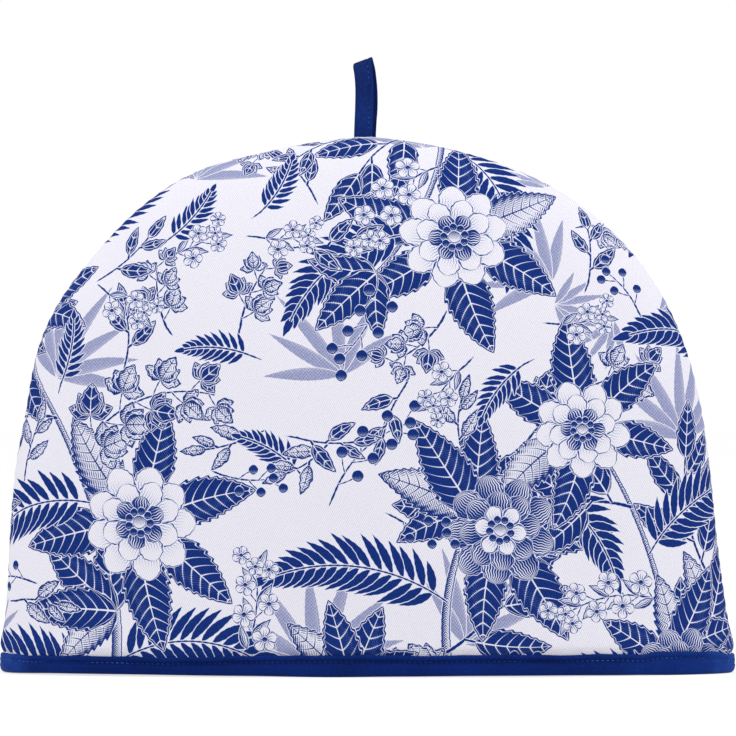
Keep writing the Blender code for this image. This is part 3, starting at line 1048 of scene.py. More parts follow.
def new_group(name, inputs, outputs):
    """A node group with the named sockets. Returns its tree, its inputs and its output node."""
    tree = bpy.data.node_groups.new(name, "ShaderNodeTree")
    for title, kind in inputs:
        tree.interface.new_socket(title, in_out="INPUT", socket_type="NodeSocket" + kind)
    for title, kind in outputs:
        tree.interface.new_socket(title, in_out="OUTPUT", socket_type="NodeSocket" + kind)
    start = tree.nodes.new("NodeGroupInput")
    end = tree.nodes.new("NodeGroupOutput")
    taken = {}
    for title, kind in inputs:
        socket = start.outputs[title]
        taken[title] = Number(tree, socket) if kind == "Float" else socket
    return tree, taken, end


def use_group(tree, group, **values):
    """Places a group in a tree and feeds its inputs."""
    made = new_node(tree, "Group")
    made.node_tree = group
    feed_all(tree, made, **values)
    return made


def noise(tree, place, scale, detail=2.0):
    """Soft random patches from 0 to 1; the larger the scale, the smaller they are."""
    made = new_node(tree, "TexNoise", Vector=place, Scale=scale, Detail=detail)
    return Number(tree, made.outputs["Fac"])


def woven(tree, weave, place, pitch, plain):
    """A weave's height, its flecks of lighter thread and its slow mottle, at a place in mm."""
    made = use_group(tree, weave, Place=place, Pitch=pitch, Plain=plain)
    return [Number(tree, made.outputs[title]) for title in ("Height", "Fleck", "Mottle")]


def own_place(tree):
    """The piece's own place in mm."""
    scaled = new_node(tree, "VectorMath", Vector=new_node(tree, "TexCoord").outputs["Object"])
    scaled.operation = "SCALE"
    feed_all(tree, scaled, Scale=1000.0)
    return scaled.outputs["Vector"]


def look_values(tree, number):
    """The row of LOOKS that a stroke's number names, read from stepped colour ramps."""
    place = (number + 0.5) * (1.0 / LOOK_PLACES)
    found = {}
    for start in range(0, len(LOOK_KEYS), 4):
        keys = LOOK_KEYS[start : start + 4]
        node = new_node(tree, "ValToRGB", Fac=place)
        ramp = node.color_ramp
        ramp.interpolation = "CONSTANT"
        while len(ramp.elements) < len(LOOKS):
            ramp.elements.new(0.5)
        for k, row in enumerate(LOOKS):
            ramp.elements[k].position = k / LOOK_PLACES
            ramp.elements[k].color = [row[key] / scale for key, scale in keys]
        split = new_node(tree, "SeparateColor", Color=node.outputs["Color"])
        sockets = [*split.outputs[:3], node.outputs["Alpha"]]
        for (key, scale), socket in zip(keys, sockets):
            value = Number(tree, socket)
            found[key] = value if scale == 1.0 else value * scale
    return found


def engraved_stroke_group():
    """One layer of the print: adds a stroke over the inks that lie below it."""
    inputs = (("Place", "Vector"), ("Size", "Vector"), ("Dark below", "Float"), ("Pale below", "Float"))
    outputs = (("Dark", "Float"), ("Pale", "Float"))
    tree, given, end = new_group("engraved stroke", inputs, outputs)
    share, across, number = parts(tree, given["Place"])
    length, half_width, seed = parts(tree, given["Size"])
    look = look_values(tree, number)

    run = share * length
    aside = abs(across)
    left = aside * half_width
    arch = ((share.clamped() ** look["widest"]) * math.pi).sine().at_least(0.0)
    swell = arch ** look["point"]
    phase = (run - left * (aside * 0.55 + 0.5)) / look["vein"] + seed * 5.0
    lobe = 0.5 - (phase * math.tau + 0.5 * math.pi).sine() * 0.5
    shape = swell * (1.0 - look["lobes"] * lobe)
    wavy = (run * 1.9 + seed * 60.0).sine() * WAVY_EDGE
    inset = (shape - aside) * half_width + wavy
    cover = (inset + HALO).edge() * (run + 0.05).above(0.0) * (length - run + 0.05).above(0.0)
    cover = cover * half_width.above(0.01)

    leafy = look["rib"]
    rib = (0.10 + (1.0 - share) * half_width * 0.034 - left).edge() * leafy
    to_vein = (1.0 - phase.tooth()) * look["vein"] * 0.39
    side_vein = (0.26 - aside * 0.26 - to_vein).edge() * leafy
    lines = rib.at_least(side_vein)

    tip = across / swell.at_least(0.05)
    tone = look["fill"] + look["side"] * across + look["foot"] * (0.62 - share)
    rim = (1.0 - inset / (half_width * 0.34 + 0.5)).clamped()
    lit = (1.0 - to_vein / 0.95).clamped() * (1.0 - aside * 0.7)
    tone = tone + (rim * 0.80 - lit * 0.42) * leafy
    slanted = run + left * 0.9
    fanned = tip * half_width
    hatch = slanted.to(fanned, look["along"]) / look["hatch"] + wavy * 2.0
    tint = (tone - hatch.tooth()).edge(0.30)
    dark = look["fill"].above(0.55)
    inner = (0.15 - abs(inset - 0.95)).edge() * leafy
    cut = tint * (1.0 - lines.at_least(inner))
    drawn = tint.at_least(lines)
    ink = drawn.to(cut, dark).at_least((look["line"] - inset).edge(0.24)) * (inset - 0.06).edge(0.24)

    dark_ink = ink * (1.0 - look["pale"])
    pale_ink = ink * look["pale"]
    dark_over = given["Dark below"].to(dark_ink, cover)
    feed_all(tree, end, Dark=dark_over, Pale=given["Pale below"].to(pale_ink, cover))
    return tree


def weave_group():
    """Twill or plain weave: its height, flecks of lighter thread and mottle from a place in mm."""
    inputs = (("Place", "Vector"), ("Pitch", "Float"), ("Plain", "Float"))
    outputs = (("Height", "Float"), ("Fleck", "Float"), ("Mottle", "Float"))
    tree, given, end = new_group("weave", inputs, outputs)
    u, v, _ = parts(tree, given["Place"])
    pitch = given["Pitch"]
    lean = math.radians(TWILL_LEAN)
    diagonal = (u * math.sin(lean) - v * math.cos(lean)) / pitch
    yarn = (u * math.cos(lean) + v * math.sin(lean)) / (pitch * 0.62)
    ridge = diagonal.tooth()
    twill = ridge * 0.88 + (yarn + ridge * 0.5).tooth() * 0.12
    warp, weft = [(along_thread * math.tau / pitch).sine() for along_thread in (u, v)]
    plain = warp * weft * 0.5 + 0.5
    height = twill.to(plain, given["Plain"])
    slub = noise(tree, given["Place"], 0.9, 3.0)
    fleck = (height * 0.6 + slub - 0.95).edge(0.5)
    mottle = noise(tree, given["Place"], 0.035)
    feed_all(tree, end, Height=height * 0.95 + slub * 0.20, Fleck=fleck, Mottle=mottle)
    return tree


def new_material(name, roughness, sheen=0.0, specular=0.08):
    """A cloth-like material. Returns it with its tree and its shader."""
    made = bpy.data.materials.new(name)
    made.use_nodes = True
    tree = made.node_tree
    shader = tree.nodes["Principled BSDF"]
    feed_all(tree, shader, Roughness=roughness, Metallic=0.0, Specular_IOR_Level=specular)
    feed_all(tree, shader, Sheen_Weight=sheen, Sheen_Roughness=0.35, Sheen_Tint=SHEEN_BLUE)
    return made, tree, shader


def attribute(tree, name):
    """A vector that the piece carries under a name."""
    node = new_node(tree, "Attribute")
    node.attribute_type = "GEOMETRY"
    node.attribute_name = name
    return node.outputs["Vector"]


def colour_input(node, title):
    return [s for s in node.inputs if s.name == title and s.type == "RGBA"][0]


def mixed_colour(tree, share, first, second):
    """A colour between two others; a plain colour is set on its socket."""
    node = new_node(tree, "Mix", Factor=share)
    node.data_type = "RGBA"
    feed(tree, colour_input(node, "A"), first)
    feed(tree, colour_input(node, "B"), second)
    return [s for s in node.outputs if s.type == "RGBA"][0]


def shaded(colour, amount):
    return tuple(c * amount for c in colour[:3]) + (1.0,)


def add_bump(tree, shader, height, distance, strength):
    bump = new_node(tree, "Bump", Distance=distance, Strength=strength, Height=height)
    feed_all(tree, shader, Normal=bump.outputs["Normal"])


def printed_cotton(name, stroke_group, weave):
    """White cotton twill with the print in two inks."""
    made, tree, shader = new_material(name, 0.82, specular=0.03)
    cloth = attribute(tree, "cloth")
    dark = 0.0
    pale = 0.0
    for layer in reversed(range(LAYERS)):
        place = attribute(tree, f"stroke_place_{layer}")
        size = attribute(tree, f"stroke_size_{layer}")
        stroke = use_group(tree, stroke_group, Place=place, Size=size, Dark_below=dark, Pale_below=pale)
        dark, pale = stroke.outputs["Dark"], stroke.outputs["Pale"]
    height, fleck, mottle = woven(tree, weave, cloth, TWILL_PITCH, 0.0)
    screen, _, _ = woven(tree, weave, cloth, SCREEN_PITCH, 1.0)
    white = mixed_colour(tree, height * 0.95 + mottle * 0.10, shaded(COTTON_WHITE, 0.71), COTTON_WHITE)
    cobalt = mixed_colour(tree, mottle * 0.5 + fleck * 0.30, INK_COBALT, shaded(INK_COBALT, 1.6))
    pale_ink = mixed_colour(tree, screen, shaded(INK_PALE, 0.72), shaded(INK_PALE, 1.55))
    with_pale = mixed_colour(tree, Number(tree, pale) * (1.0 - fleck * 0.25), white, pale_ink)
    ink = Number(tree, dark) * (1.0 - fleck * 0.04)
    with_wash = mixed_colour(tree, (ink * 2.2).at_most(1.0), with_pale, INK_WASH)
    with_dark = mixed_colour(tree, (ink * 2.2 - 1.2).clamped(), with_wash, cobalt)
    feed_all(tree, shader, Base_Color=with_dark, Roughness=Number(tree, dark) * -0.10 + 0.84)
    add_bump(tree, shader, height, TWILL_RELIEF, 0.7)
    return made


def plain_cotton(
    name, colour, weave, spread, pitch, roughness, sheen, relief, place=None, painted_light_colour=None, fold=None
):
    """Cotton of one colour, with its weave in mm of cloth or of the piece's own place.

    The spread says how dark its darkest and how light its lightest threads are. On the hem's strip,
    painted light makes it a little lighter round the ends of the cosy and towards the right, in
    blotches, and painted shade makes it darker left of the middle and, from its shade attribute, in the
    groove where the stitching holds it and at its foot. The tape takes painted shade from its shade
    attribute too.
    """
    made, tree, shader = new_material(name, roughness, sheen, 0.05)
    x, y, z = parts(tree, own_place(tree))
    if place is None:
        cloth = new_node(tree, "CombineXYZ", X=x, Y=z, Z=y).outputs["Vector"]
    else:
        cloth = attribute(tree, place)
    height, fleck, mottle = woven(tree, weave, cloth, pitch, 1.0)
    light = (fleck * 0.80 + mottle * 0.80 + height * 0.15 - 0.24).clamped()
    dyed = mixed_colour(tree, light, *[shaded(colour, amount) for amount in spread])
    # Painted light: lighter round the ends and towards the right, in blotches.
    if painted_light_colour:
        patchy = (noise(tree, cloth, 0.16, 3.0) - 0.5) * 2.4 + 1.0
        at_ends = ((abs(x) - LIT_ENDS_FROM) / LIT_ENDS_RUN).clamped()
        at_right = ((x - LIT_RIGHT_FROM) / LIT_RIGHT_RUN).clamped()
        painted_light_share = (at_ends + at_right).at_most(1.0)
        dyed = mixed_colour(tree, painted_light_share * patchy * (light * 0.7 + 0.45), dyed, painted_light_colour)
        # Painted shade: darker left of the middle.
        painted_shade_left = (1.0 - abs(x - SHADED_LEFT_MIDDLE) / SHADED_LEFT_RUN).clamped() * 0.30
        dyed = mixed_colour(tree, painted_shade_left, dyed, fold)
    # Painted shade: the shade attribute darkens the colour towards fold, the shaded colour.
    if fold:
        shade, _, _ = parts(tree, attribute(tree, "shade"))
        dyed = mixed_colour(tree, shade * 0.80, dyed, fold)
    feed_all(tree, shader, Base_Color=dyed)
    add_bump(tree, shader, height, relief, 0.5)
    return made


def sewing_thread(name, colour, weave, middle_shade):
    """Thread of one colour that shows more in some stitches than in others.

    The last argument is painted shade: how much darker the thread is painted in the middle of the
    cosy than towards its ends.
    """
    made, tree, shader = new_material(name, 0.6)
    here = own_place(tree)
    height, _, _ = woven(tree, weave, here, THREAD_PITCH, 0.0)
    across, _, _ = parts(tree, here)
    # Painted shade: the thread is darker in the middle of the cosy than towards its ends.
    shows = ((abs(across) - THREAD_SHADE_HALF) / THREAD_SHADE_RUN).clamped() * middle_shade + (1.0 - middle_shade)
    lit = (noise(tree, here, 0.11) - 0.5) * 3.2 + 0.35
    light = (lit * shows + height * 0.2).clamped()
    spun = mixed_colour(tree, light, shaded(colour, 0.30), shaded(colour, 2.2))
    feed_all(tree, shader, Base_Color=spun)
    add_bump(tree, shader, height, 0.00003, 0.5)
    return made


# ---- the pieces -------------------------------------------------------------------------------


def finished_piece(name, bm, materials):
    """A named piece of the scene from a mesh that is being built."""
    mesh = bpy.data.meshes.new(name)
    bm.to_mesh(mesh)
    bm.free()
    for material in materials:
        mesh.materials.append(material)
    mesh.shade_smooth()
    piece = bpy.data.objects.new(name, mesh)
    bpy.context.scene.collection.objects.link(piece)
    return piece


def lay_grid(bm, points):
    """Adds a grid to the mesh and moves it onto rows of points. Returns each vertex's row, column."""
    rows, columns = points.shape[0] - 1, points.shape[1] - 1
    made = bmesh.ops.create_grid(bm, x_segments=columns, y_segments=rows, size=0.5)["verts"]
    places = []
    for v in made:
        i = round((v.co.x + 0.5) * columns)
        j = round((v.co.y + 0.5) * rows)
        v.co = points[j, i]
        places.append((j, i))
    return made, np.array(places)


def faced(points, side):
    """Points x, depth, z as x, y, z of the front panel, side -1, or of the back one, side 1."""
    return points * np.array((1.0, side, 1.0))


def inner_face(points):
    """A coarser grid inside the face, one wall's thickness in, thinner where the hem is bound."""
    rows = np.unique(np.append(np.arange(0, points.shape[0], INNER_STEP), points.shape[0] - 1))
    columns = np.arange(0, points.shape[1], INNER_STEP)
    normal = face_normals(points)[rows][:, columns]
    kept = points[rows][:, columns]
    pinched = 1.0 - smoothstep((kept[..., 2:] - SKIRT_TOP + SKIRT_PINCH) / SKIRT_EASE)
    flat = normal * np.array((1.0, 1.0, 0.0))
    flat = flat / np.maximum(np.linalg.norm(flat, axis=-1, keepdims=True), 1e-9)
    normal = blend(normal, flat, pinched)
    inner = kept - normal * blend(WALL, HEM_WALL, pinched)
    inner[:, (0, -1), 1] = SEAM_GAP
    inner[-1, :, 1] = SEAM_GAP
    inner[..., 1] = np.maximum(inner[..., 1], SEAM_GAP)
    inner[0, :, 2] = kept[0, :, 2]
    return inner


# The lining's cloth in millimetres for each quad across and up, and its lower left corner.
LINING_STEP = np.array((8.6, 7.6))
LINING_CORNER = np.array((172.0, 0.0))


def make_panel(name, side, seed, materials, strokes, shift):
    """One padded panel. Its printed face is a fine grid, closed by an inner wall of plain cotton."""
    true_points, points = panel_face(seed)
    points[..., 1] = np.maximum(points[..., 1], SEAM_GAP)
    bm = bmesh.new()
    outer, places = lay_grid(bm, faced(points, side))
    _, inner_places = lay_grid(bm, faced(inner_face(points), side))
    rims = [e for e in bm.edges if e.is_boundary]
    outer_faces = {f for v in outer for f in v.link_faces}
    turn = [f for f in bm.faces if (f in outer_faces) == (side > 0)]
    bmesh.ops.reverse_faces(bm, faces=turn)
    bmesh.ops.bridge_loops(bm, edges=rims)
    for face in bm.faces:
        face.material_index = 0 if face in outer_faces else 1
    bmesh.ops.recalc_face_normals(bm, faces=bm.faces)
    panel = finished_piece(name, bm, materials)

    u, v = cloth_place(true_points[..., 0], true_points[..., 2])
    cloth = np.zeros((len(panel.data.vertices), 2))
    cloth[: len(outer)] = np.stack((-side * u, v), axis=-1)[places[:, 0], places[:, 1]]
    cloth[len(outer) :] = inner_places[:, ::-1] * LINING_STEP - LINING_CORNER
    print_on(panel, cloth, len(outer), strokes, shift)
    return panel


def read_values(items, name, kind=np.int32, width=1):
    """One number or vector of each item, as an array."""
    values = np.empty(len(items) * width, kind)
    items.foreach_get(name, values)
    return values


def add_corner_vectors(mesh, name, values):
    made = mesh.attributes.new(name, "FLOAT_VECTOR", "CORNER")
    made.data.foreach_set("vector", np.ascontiguousarray(values, np.float32).ravel())


def print_on(panel, cloth, outer_count, strokes, shift):
    """Stores the cloth's place, the bake map and the strokes of the print at the face corners."""
    mesh = panel.data
    vertex = read_values(mesh.loops, "vertex_index")
    start = read_values(mesh.polygons, "loop_start")
    total = read_values(mesh.polygons, "loop_total")
    quads = start[total == 4][:, None] + np.arange(4)[None]
    quads = quads[(vertex[quads] < outer_count).all(axis=1)]

    here = cloth[vertex]
    add_corner_vectors(mesh, "cloth", np.pad(here, ((0, 0), (0, 1))))
    add_bake_map(mesh, here, quads, vertex, outer_count)
    places, sizes = stamp_print(strokes, here[quads] + np.array(shift))
    for layer in range(LAYERS):
        for title, values in (("stroke_place", places), ("stroke_size", sizes)):
            spread = np.zeros((len(vertex), 3), np.float32)
            spread[quads] = values[layer]
            add_corner_vectors(mesh, f"{title}_{layer}", spread)


# How the printed face, the inner side and the rim lie on a panel's bake map: the cloth's place in
# millimetres is shifted, made smaller and set at a corner.
BAKE_PARTS = (
    {"shift": (205.0, 3.0), "scale": 410.0, "corner": (0.0, 0.0)},
    {"shift": (175.0, 0.0), "scale": 1200.0, "corner": (0.02, 0.72)},
    {"shift": (205.0, 3.0), "scale": 1300.0, "corner": (0.40, 0.72)},
)


def add_bake_map(mesh, here, quads, vertex, outer_count):
    """A map for baking: the printed face fills its lower part, the rest lies above it."""
    printed = np.zeros(len(here), bool)
    printed[quads] = True
    inner = ~printed & (vertex >= outer_count)
    flat = np.zeros((len(here), 2))
    for chosen, part in zip((printed, inner, ~printed & ~inner), BAKE_PARTS):
        flat[chosen] = (here[chosen] + part["shift"]) / part["scale"] + part["corner"]
    layer = mesh.uv_layers.new(name="OFBake", do_init=False)
    layer.uv.foreach_set("vector", flat.astype(np.float32).ravel())


def binding_section():
    """The folded strip's section: inset from the outer face, share of its height, rise, and shade.

    The cloth puffs out below the stitching and is drawn in where the thread holds it. The shade
    is painted shade: how much darker the colour is painted in the groove there and in the fold at
    the foot.
    """
    round_foot = [
        (
            BINDING_CORNER * (1.0 - math.cos(t)),
            0.0,
            BINDING_CORNER * (1.0 - math.sin(t)),
            1.25 * math.sin(t) ** 4,
        )
        for t in np.linspace(0.5 * math.pi, 0.0, 7)
    ]
    outer = [
        (-0.00010, 0.16, 0.00144, 0.04),
        (-0.00022, 0.40, -0.00030, 0.10),
        (-0.00018, 0.70, -0.00248, 0.22),
        (0.00008, 1.0, -0.00465, 0.45),
        (0.00036, 1.0, -0.00415, 0.65),
        (0.00070, 1.0, -0.00360, 0.90),
        (GROOVE, 1.0, -STITCH_DROP, 1.00),
        (0.00066, 1.0, -0.00265, 0.80),
        (0.00030, 1.0, -0.00215, 0.45),
        (0.00008, 1.0, -0.00145, 0.15),
        (0.00012, 1.0, -0.00060, 0.00),
        (0.00046, 1.0, -0.00014, 0.00),
        (0.00076, 1.0, 0.0, 0.00),
        (0.00108, 1.0, -0.00012, 0.20),
        (BINDING_CLOTH, 1.0, -0.00050, 0.40),
        (BINDING_CLOTH, 0.45, 0.0, 0.40),
        (BINDING_CLOTH, 0.0, SKIRT_FOOT - GAP, 0.40),
    ]
    return round_foot + outer


def make_binding(material):
    """The folded strip round the hem, both leaves and the fold under the wall in one ring."""
    width = 2.0 * (BINDING_CLOTH + GAP) + HEM_WALL
    half = binding_section()
    section = half + [(width - inset, *others) for inset, *others in half[::-1]]
    profile = np.array([(point[0], point[1] * BINDING_MIDDLE_HEIGHT + point[2]) for point in section])
    around = running_length(np.concatenate((profile, profile[:1])))
    bm = bmesh.new()
    bmesh.ops.create_grid(bm, x_segments=BINDING_STEPS, y_segments=len(section), size=0.5)
    place = bm.verts.layers.float_vector.new("place")
    shade = bm.verts.layers.float.new("shade")
    run_angle, run, whole = ring_run()
    for v in bm.verts:
        step = round((v.co.x + 0.5) * BINDING_STEPS) % BINDING_STEPS
        number = round((v.co.y + 0.5) * len(section)) % len(section)
        here = step / BINDING_STEPS * whole
        angle = float(np.interp(here, run, run_angle))
        inset, share, rise, dark = section[number]
        outside = number < len(half)
        upper = share == 1.0
        held = float(seam_hold(angle))
        grip = 0.0
        if upper and inset < GROOVE_DEEP:
            grip = math.exp(-(((rise + STITCH_DROP) / STITCH_BAND) ** 2))
            if inset > GROOVE_SHALLOW and rise < GROOVE_TOP:
                inset *= held
        beat = math.cos(math.tau * here / whole * STITCHES)
        uneven = FACE_WAVE * drifting_wave(here, FACE_PITCH, FACE_DRIFT, 2.0)
        soft = OUTER_WAVE * math.sin(here / OUTER_PITCH + 1.4) if outside else 0.0
        inset += STITCH_PULL * beat * grip + (uneven + soft) * (1.0 - 0.7 * grip)
        v[place] = Vector((here, around[number], 0.0))
        # Painted shade from the section, eased off on the upper band at the ends.
        v[shade] = dark * (held**2 if upper else 1.0)
        x, y = ring_point(angle, inset)
        z = blend(foot_lift(angle), binding_height(angle), share) + rise
        if upper:
            z += EDGE_WAVE * drifting_wave(here, EDGE_PITCH, EDGE_DRIFT, 3.0)
        v.co = Vector((float(x), float(y), float(z)))
    joins = [v for v in bm.verts if v.is_boundary]
    bmesh.ops.remove_doubles(bm, verts=joins, dist=1e-7)
    bmesh.ops.recalc_face_normals(bm, faces=bm.faces)
    hem = finished_piece("bound_hem", bm, [material])
    lay_strip_cloth(hem, whole, around[-1])
    return hem


def lay_strip_cloth(hem, whole, whole_around):
    """Stores the strip's place in mm at the face corners, running on evenly across its joins."""
    mesh = hem.data
    made = mesh.attributes["place"]
    place = read_values(made.data, "vector", np.float32, 3).reshape(-1, 3)
    corners = place[read_values(mesh.loops, "vertex_index")].reshape(-1, 4, 3)
    span = np.array((whole, whole_around, 1.0))
    wrapped = corners < corners.max(axis=1, keepdims=True) - 0.5 * span
    corners = corners + span * wrapped
    mesh.attributes.remove(made)
    add_corner_vectors(mesh, "cloth", corners * 1000.0)


def ring_run():
    """The distance round the hem at each angle, and the whole way round."""
    angle = np.linspace(-math.pi, math.pi, 4001)
    x, y = ring_point(angle, 0.0)
    run = running_length(np.stack((x, y), axis=-1))
    return angle, run, float(run[-1])


def one_stitch():
    """The pattern that every stitch is a copy of: a short, slim grain of thread."""
    down = np.linspace(0.0, math.pi, STITCH_ROWS + 1)[:, None]
    around = np.linspace(0.5 * math.pi, 2.5 * math.pi, STITCH_SIDES + 1)[None]
    flat = (np.sin(down) * np.cos(around), np.sin(down) * np.sin(around))
    bm = bmesh.new()
    lay_grid(bm, 0.5 * np.stack((*flat, np.cos(down) + 0.0 * around), axis=-1))
    bmesh.ops.remove_doubles(bm, verts=bm.verts, dist=1e-4)
    pattern = bpy.data.meshes.new("stitch")
    bm.to_mesh(pattern)
    bm.free()
    return pattern


def add_stitches(name, places, material):
    """One piece with a stitch at each place, a place being a matrix."""
    pattern = one_stitch()
    bm = bmesh.new()
    for place in places:
        first = len(bm.verts)
        bm.from_mesh(pattern)
        bm.verts.ensure_lookup_table()
        bmesh.ops.transform(bm, matrix=place, verts=bm.verts[first:])
    bmesh.ops.recalc_face_normals(bm, faces=bm.faces)
    bpy.data.meshes.remove(pattern)
    return finished_piece(name, bm, [material])


def make_stitches(material):
    """One short stitch of thread after another along both sides of the binding."""
    run_angle, run, whole = ring_run()
    places = []
    size = Matrix.Diagonal((STITCH_LENGTH, STITCH_THICKNESS, STITCH_THICKNESS * 1.3, 1.0))
    for k in range(STITCHES):
        angle = float(np.interp((k + 0.5) / STITCHES * whole, run, run_angle))
        inset = GROOVE * float(seam_hold(angle))
        x, y = ring_point(angle, inset)
        ahead_x, ahead_y = ring_point(angle + 0.004, inset)
        way = math.atan2(float(ahead_y - y), float(ahead_x - x))
        z = float(binding_height(angle)) - STITCH_DROP
        lean = Matrix.Rotation(way, 4, "Z") @ Matrix.Rotation(STITCH_LEAN, 4, "Y")
        places.append(Matrix.Translation((float(x), float(y), z)) @ lean @ size)
    return add_stitches("hem_stitches", places, material)


def loop_line():
    """The tape's middle line as smooth points in x, y, z: up the front leg and down the back one."""
    front = [(front_x, -gap, rise) for rise, gap, front_x, _ in LOOP_STATIONS]
    back = [(back_x, gap, rise) for rise, gap, _, back_x in LOOP_STATIONS[:-1]]
    knots = np.array(front + back[::-1]) + np.array((0.0, 0.0, POCKET_FLOOR))
    ends = np.concatenate(([2.0 * knots[0] - knots[1]], knots, [2.0 * knots[-1] - knots[-2]]))
    fine = []
    for a, b, c, d in zip(ends, ends[1:], ends[2:], ends[3:]):
        for t in np.arange(24) / 24:
            slope = (c - a) * t
            curve = (2.0 * a - 5.0 * b + 4.0 * c - d) * t**2
            twist = (3.0 * b - a - 3.0 * c + d) * t**3
            fine.append(0.5 * (2.0 * b + slope + curve + twist))
    fine.append(knots[-1])
    return at_shares(np.array(fine), np.linspace(0.0, 1.0, TAPE_STEPS + 1))


def tape_slant(z, top):
    """How steeply the tape slants across its width, where it folds over at the top."""
    return TAPE_TILT / TAPE_WIDTH * smoothstep((z - (top - TILT_RUN)) / TILT_RUN)


def tape_points(line):
    """Rows of points across the tape's middle surface."""
    across = np.linspace(-0.5, 0.5, TAPE_COLUMNS + 1) * TAPE_WIDTH
    tilt = tape_slant(line[:, 2], line[:, 2].max())
    x = line[:, None, 0] + across[None]
    y = line[:, None, 1] + 0.0 * across[None]
    z = line[:, None, 2] + tilt[:, None] * across[None]
    return np.stack((x, y, z), axis=-1)


def make_loop(material, inside):
    """The folded tape, thinner along its row of stitches and at its folded edges."""
    line = loop_line()
    top = float(line[:, 2].max())
    bm = bmesh.new()
    _, places = lay_grid(bm, tape_points(line))
    loop = finished_piece("hanging_tape", bm, [material, inside])
    thick = loop.vertex_groups.new(name="thick")
    # The shades are painted shade: darker at the folded edges, along the row of stitches, at the top
    # fold and towards the top of the loop.
    shades = []
    for v, (_, column) in zip(loop.data.vertices, places):
        across = column / TAPE_COLUMNS
        hem = math.exp(-(((across - TAPE_STITCH_SHARE) / TAPE_HEM_REACH) ** 2))
        edge = max(0.0, abs(across - 0.5) * 2.0 - (1.0 - TAPE_EDGE_SHARE)) / TAPE_EDGE_SHARE
        thick.add([v.index], 1.0 - 0.28 * hem - 0.42 * edge**2, "REPLACE")
        rise = v.co.z - TAPE_TILT * (across - 0.5)
        fold = float(smoothstep((rise - (top - TAPE_FOLD_DROP)) / TAPE_FOLD_RUN))
        up = float(smoothstep((v.co.z - (POCKET_FLOOR + TAPE_SHADE_FROM)) / TAPE_SHADE_RUN))
        shades.append(min(1.0, 1.2 * edge**2 + 0.30 * hem + fold + 0.34 * up))
    loop.data.attributes.new("shade", "FLOAT", "POINT").data.foreach_set("value", shades)
    solid = loop.modifiers.new("tape", "SOLIDIFY")
    solid.thickness = TAPE_THICKNESS
    solid.offset = 0.0
    # The inner shell takes the second material, painted shade inside the loop.
    solid.material_offset = 1
    solid.use_quality_normals = True
    solid.vertex_group = "thick"
    solid.thickness_vertex_group = 0.0
    rim = loop.modifiers.new("edge", "BEVEL")
    rim.width = 0.16 * TAPE_THICKNESS
    rim.segments = 2
    rim.limit_method = "ANGLE"
    rim.angle_limit = math.radians(50.0)
    return loop


def make_loop_stitches(material):
    """The row of stitches that closes the folded tape, along its right edge on both legs."""
    line = loop_line()
    top = line[:, 2].max()
    count = int(running_length(line)[-1] / TAPE_STITCH_PITCH)
    across = (TAPE_STITCH_SHARE - 0.5) * TAPE_WIDTH
    level = Vector((1.0, 0.0, 0.0))
    size = Matrix.Diagonal((*TAPE_STITCH_SIZE, 1.0))
    places = []
    for k in range(3, count - 2):
        share = (k + 0.5) / count
        back, at, ahead = at_shares(line, (share - 0.004, share, share + 0.004))
        if at[2] > top - TAPE_STITCH_STOP:
            continue
        way = Vector(ahead - back).normalized()
        out = level.cross(way).normalized()
        middle = Vector(at) + Vector((across, 0.0, float(tape_slant(at[2], top)) * across))
        turn = Matrix((way, level, out)).transposed().to_4x4()
        for face in (1.0, -1.0):
            spot = middle + face * out * (0.37 * TAPE_THICKNESS)
            places.append(Matrix.Translation(spot) @ turn @ size)
    return add_stitches("tape_stitches", places, material)


# ---- the studio -------------------------------------------------------------------------------


def make_floor():
    """A plain pale floor, lit softly from within as a light table is."""
    bm = bmesh.new()
    bmesh.ops.create_grid(bm, x_segments=8, y_segments=8, size=12.0)
    made, tree, shader = new_material("pale_floor", 0.9)
    feed_all(
        tree, shader, Base_Color=FLOOR_GREY, Emission_Color=PLAIN_WHITE, Emission_Strength=FLOOR_GLOW
    )
    floor = finished_piece("floor", bm, [made])


def add_soft_light(name, place, size, power):
    lamp = bpy.data.lights.new(name, "AREA")
    lamp.shape = "RECTANGLE"
    lamp.size, lamp.size_y = size
    lamp.energy = power
    light = bpy.data.objects.new(name, lamp)
    light.location = place
    aim = Vector(LIT_PLACE) - Vector(place)
    light.rotation_euler = aim.to_track_quat("-Z", "Y").to_euler()
    bpy.context.scene.collection.objects.link(light)


def set_studio():
    scene = bpy.context.scene
    scene.view_settings.view_transform = "Standard"
    world = bpy.data.worlds.new("studio")
    world.use_nodes = True
    sky = world.node_tree.nodes["Background"]
    feed_all(world.node_tree, sky, Color=PLAIN_WHITE, Strength=SKY_STRENGTH)
    scene.world = world
    for name, values in LIGHTS.items():
        add_soft_light(name, *values)


def set_camera():
    camera = bpy.data.cameras.new("camera")
    camera.sensor_width = 36.0
    camera.lens = CAMERA_LENS
    camera.clip_start = 0.1
    camera.clip_end = 50.0
    eye = bpy.data.objects.new("camera", camera)
    eye.location = CAMERA_PLACE
    eye.rotation_euler = (0.5 * math.pi, 0.0, 0.0)
    bpy.context.scene.collection.objects.link(eye)
    bpy.context.scene.camera = eye


# ---- everything together ----------------------------------------------------------------------


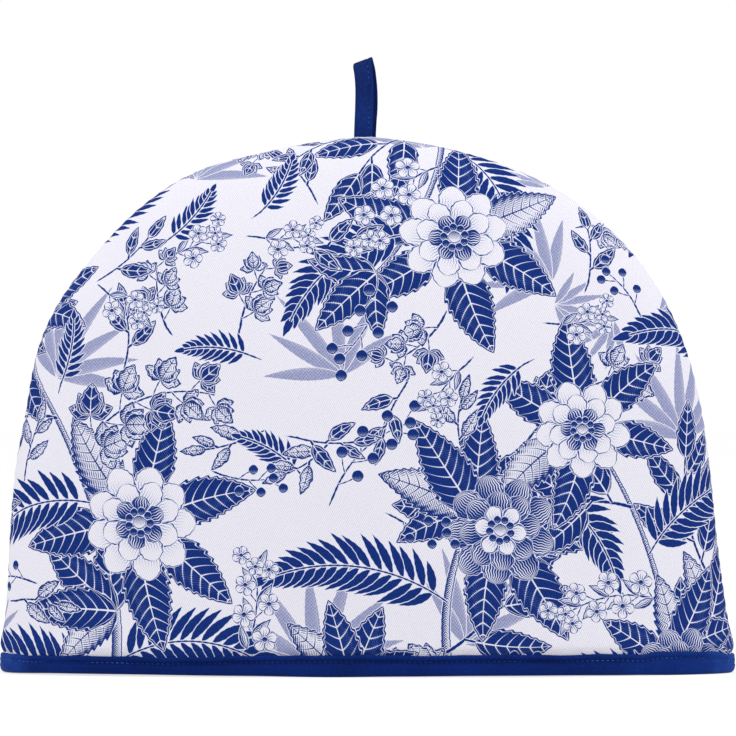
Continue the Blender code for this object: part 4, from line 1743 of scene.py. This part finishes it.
def build():
    set_camera()
    set_studio()
    make_floor()

    weave = weave_group()
    cotton = printed_cotton("printed_cotton_twill", engraved_stroke_group(), weave)
    lining = plain_cotton(
        "plain_cotton", LINING_WHITE, weave, LINING_SPREAD,
        pitch=0.9, roughness=0.9, sheen=0.03, relief=0.00004, place="cloth",
    )
    # The hem's cotton has painted light round its ends and to the right, and painted shade in its
    # groove, at its foot and left of its middle.
    hem_cotton = plain_cotton(
        "navy_hem_cotton", HEM_NAVY, weave, NAVY_SPREAD,
        pitch=0.80, roughness=0.72, sheen=0.15, relief=0.00009, place="cloth",
        painted_light_colour=HEM_NAVY_PAINTED_LIGHT, fold=HEM_NAVY_PAINTED_SHADE,
    )
    # The tape's cotton has painted shade from its shade attribute; its inner face is a darker painted
    # shade copy.
    tape_cotton = plain_cotton(
        "navy_tape_cotton", LOOP_NAVY, weave, NAVY_SPREAD,
        pitch=0.75, roughness=0.72, sheen=0.12, relief=0.00009, fold=LOOP_NAVY_PAINTED_SHADE,
    )
    # Painted shade: a darker copy of the tape's cotton for its inner face.
    tape_inside_shade = plain_cotton(
        "navy_tape_inside_shade", LOOP_INSIDE_PAINTED_SHADE, weave, NAVY_SPREAD,
        pitch=0.75, roughness=0.85, sheen=0.0, relief=0.00006,
    )
    # The hem's thread has painted shade in the middle of the cosy.
    hem_thread = sewing_thread("blue_hem_thread", HEM_THREAD, weave, middle_shade=0.75)
    loop_thread = sewing_thread("blue_loop_thread", LOOP_THREAD, weave, middle_shade=0.0)

    strokes = draw_cloth()
    front = make_panel("front_cloth", -1.0, 3, [cotton, lining], strokes, (0.0, 6.0))
    back = make_panel("back_cloth", 1.0, 8, [cotton, lining], strokes, (118.0, 92.0))
    hem = make_binding(hem_cotton)
    hem_stitches = make_stitches(hem_thread)
    loop = make_loop(tape_cotton, tape_inside_shade)
    tape_stitches = make_loop_stitches(loop_thread)

    for piece, node, slot in (
        (front, "front_panel", "printed_cotton"),
        (back, "back_panel", "printed_cotton_back"),
        (hem, "hem_binding", "hem_tape"),
        (loop, "hanging_loop", "loop_tape"),
    ):
        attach(piece, "root")
        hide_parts(node)
    for piece, slot in ((hem_stitches, "hem_tape"), (tape_stitches, "loop_tape")):
        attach(piece, "root")


build()
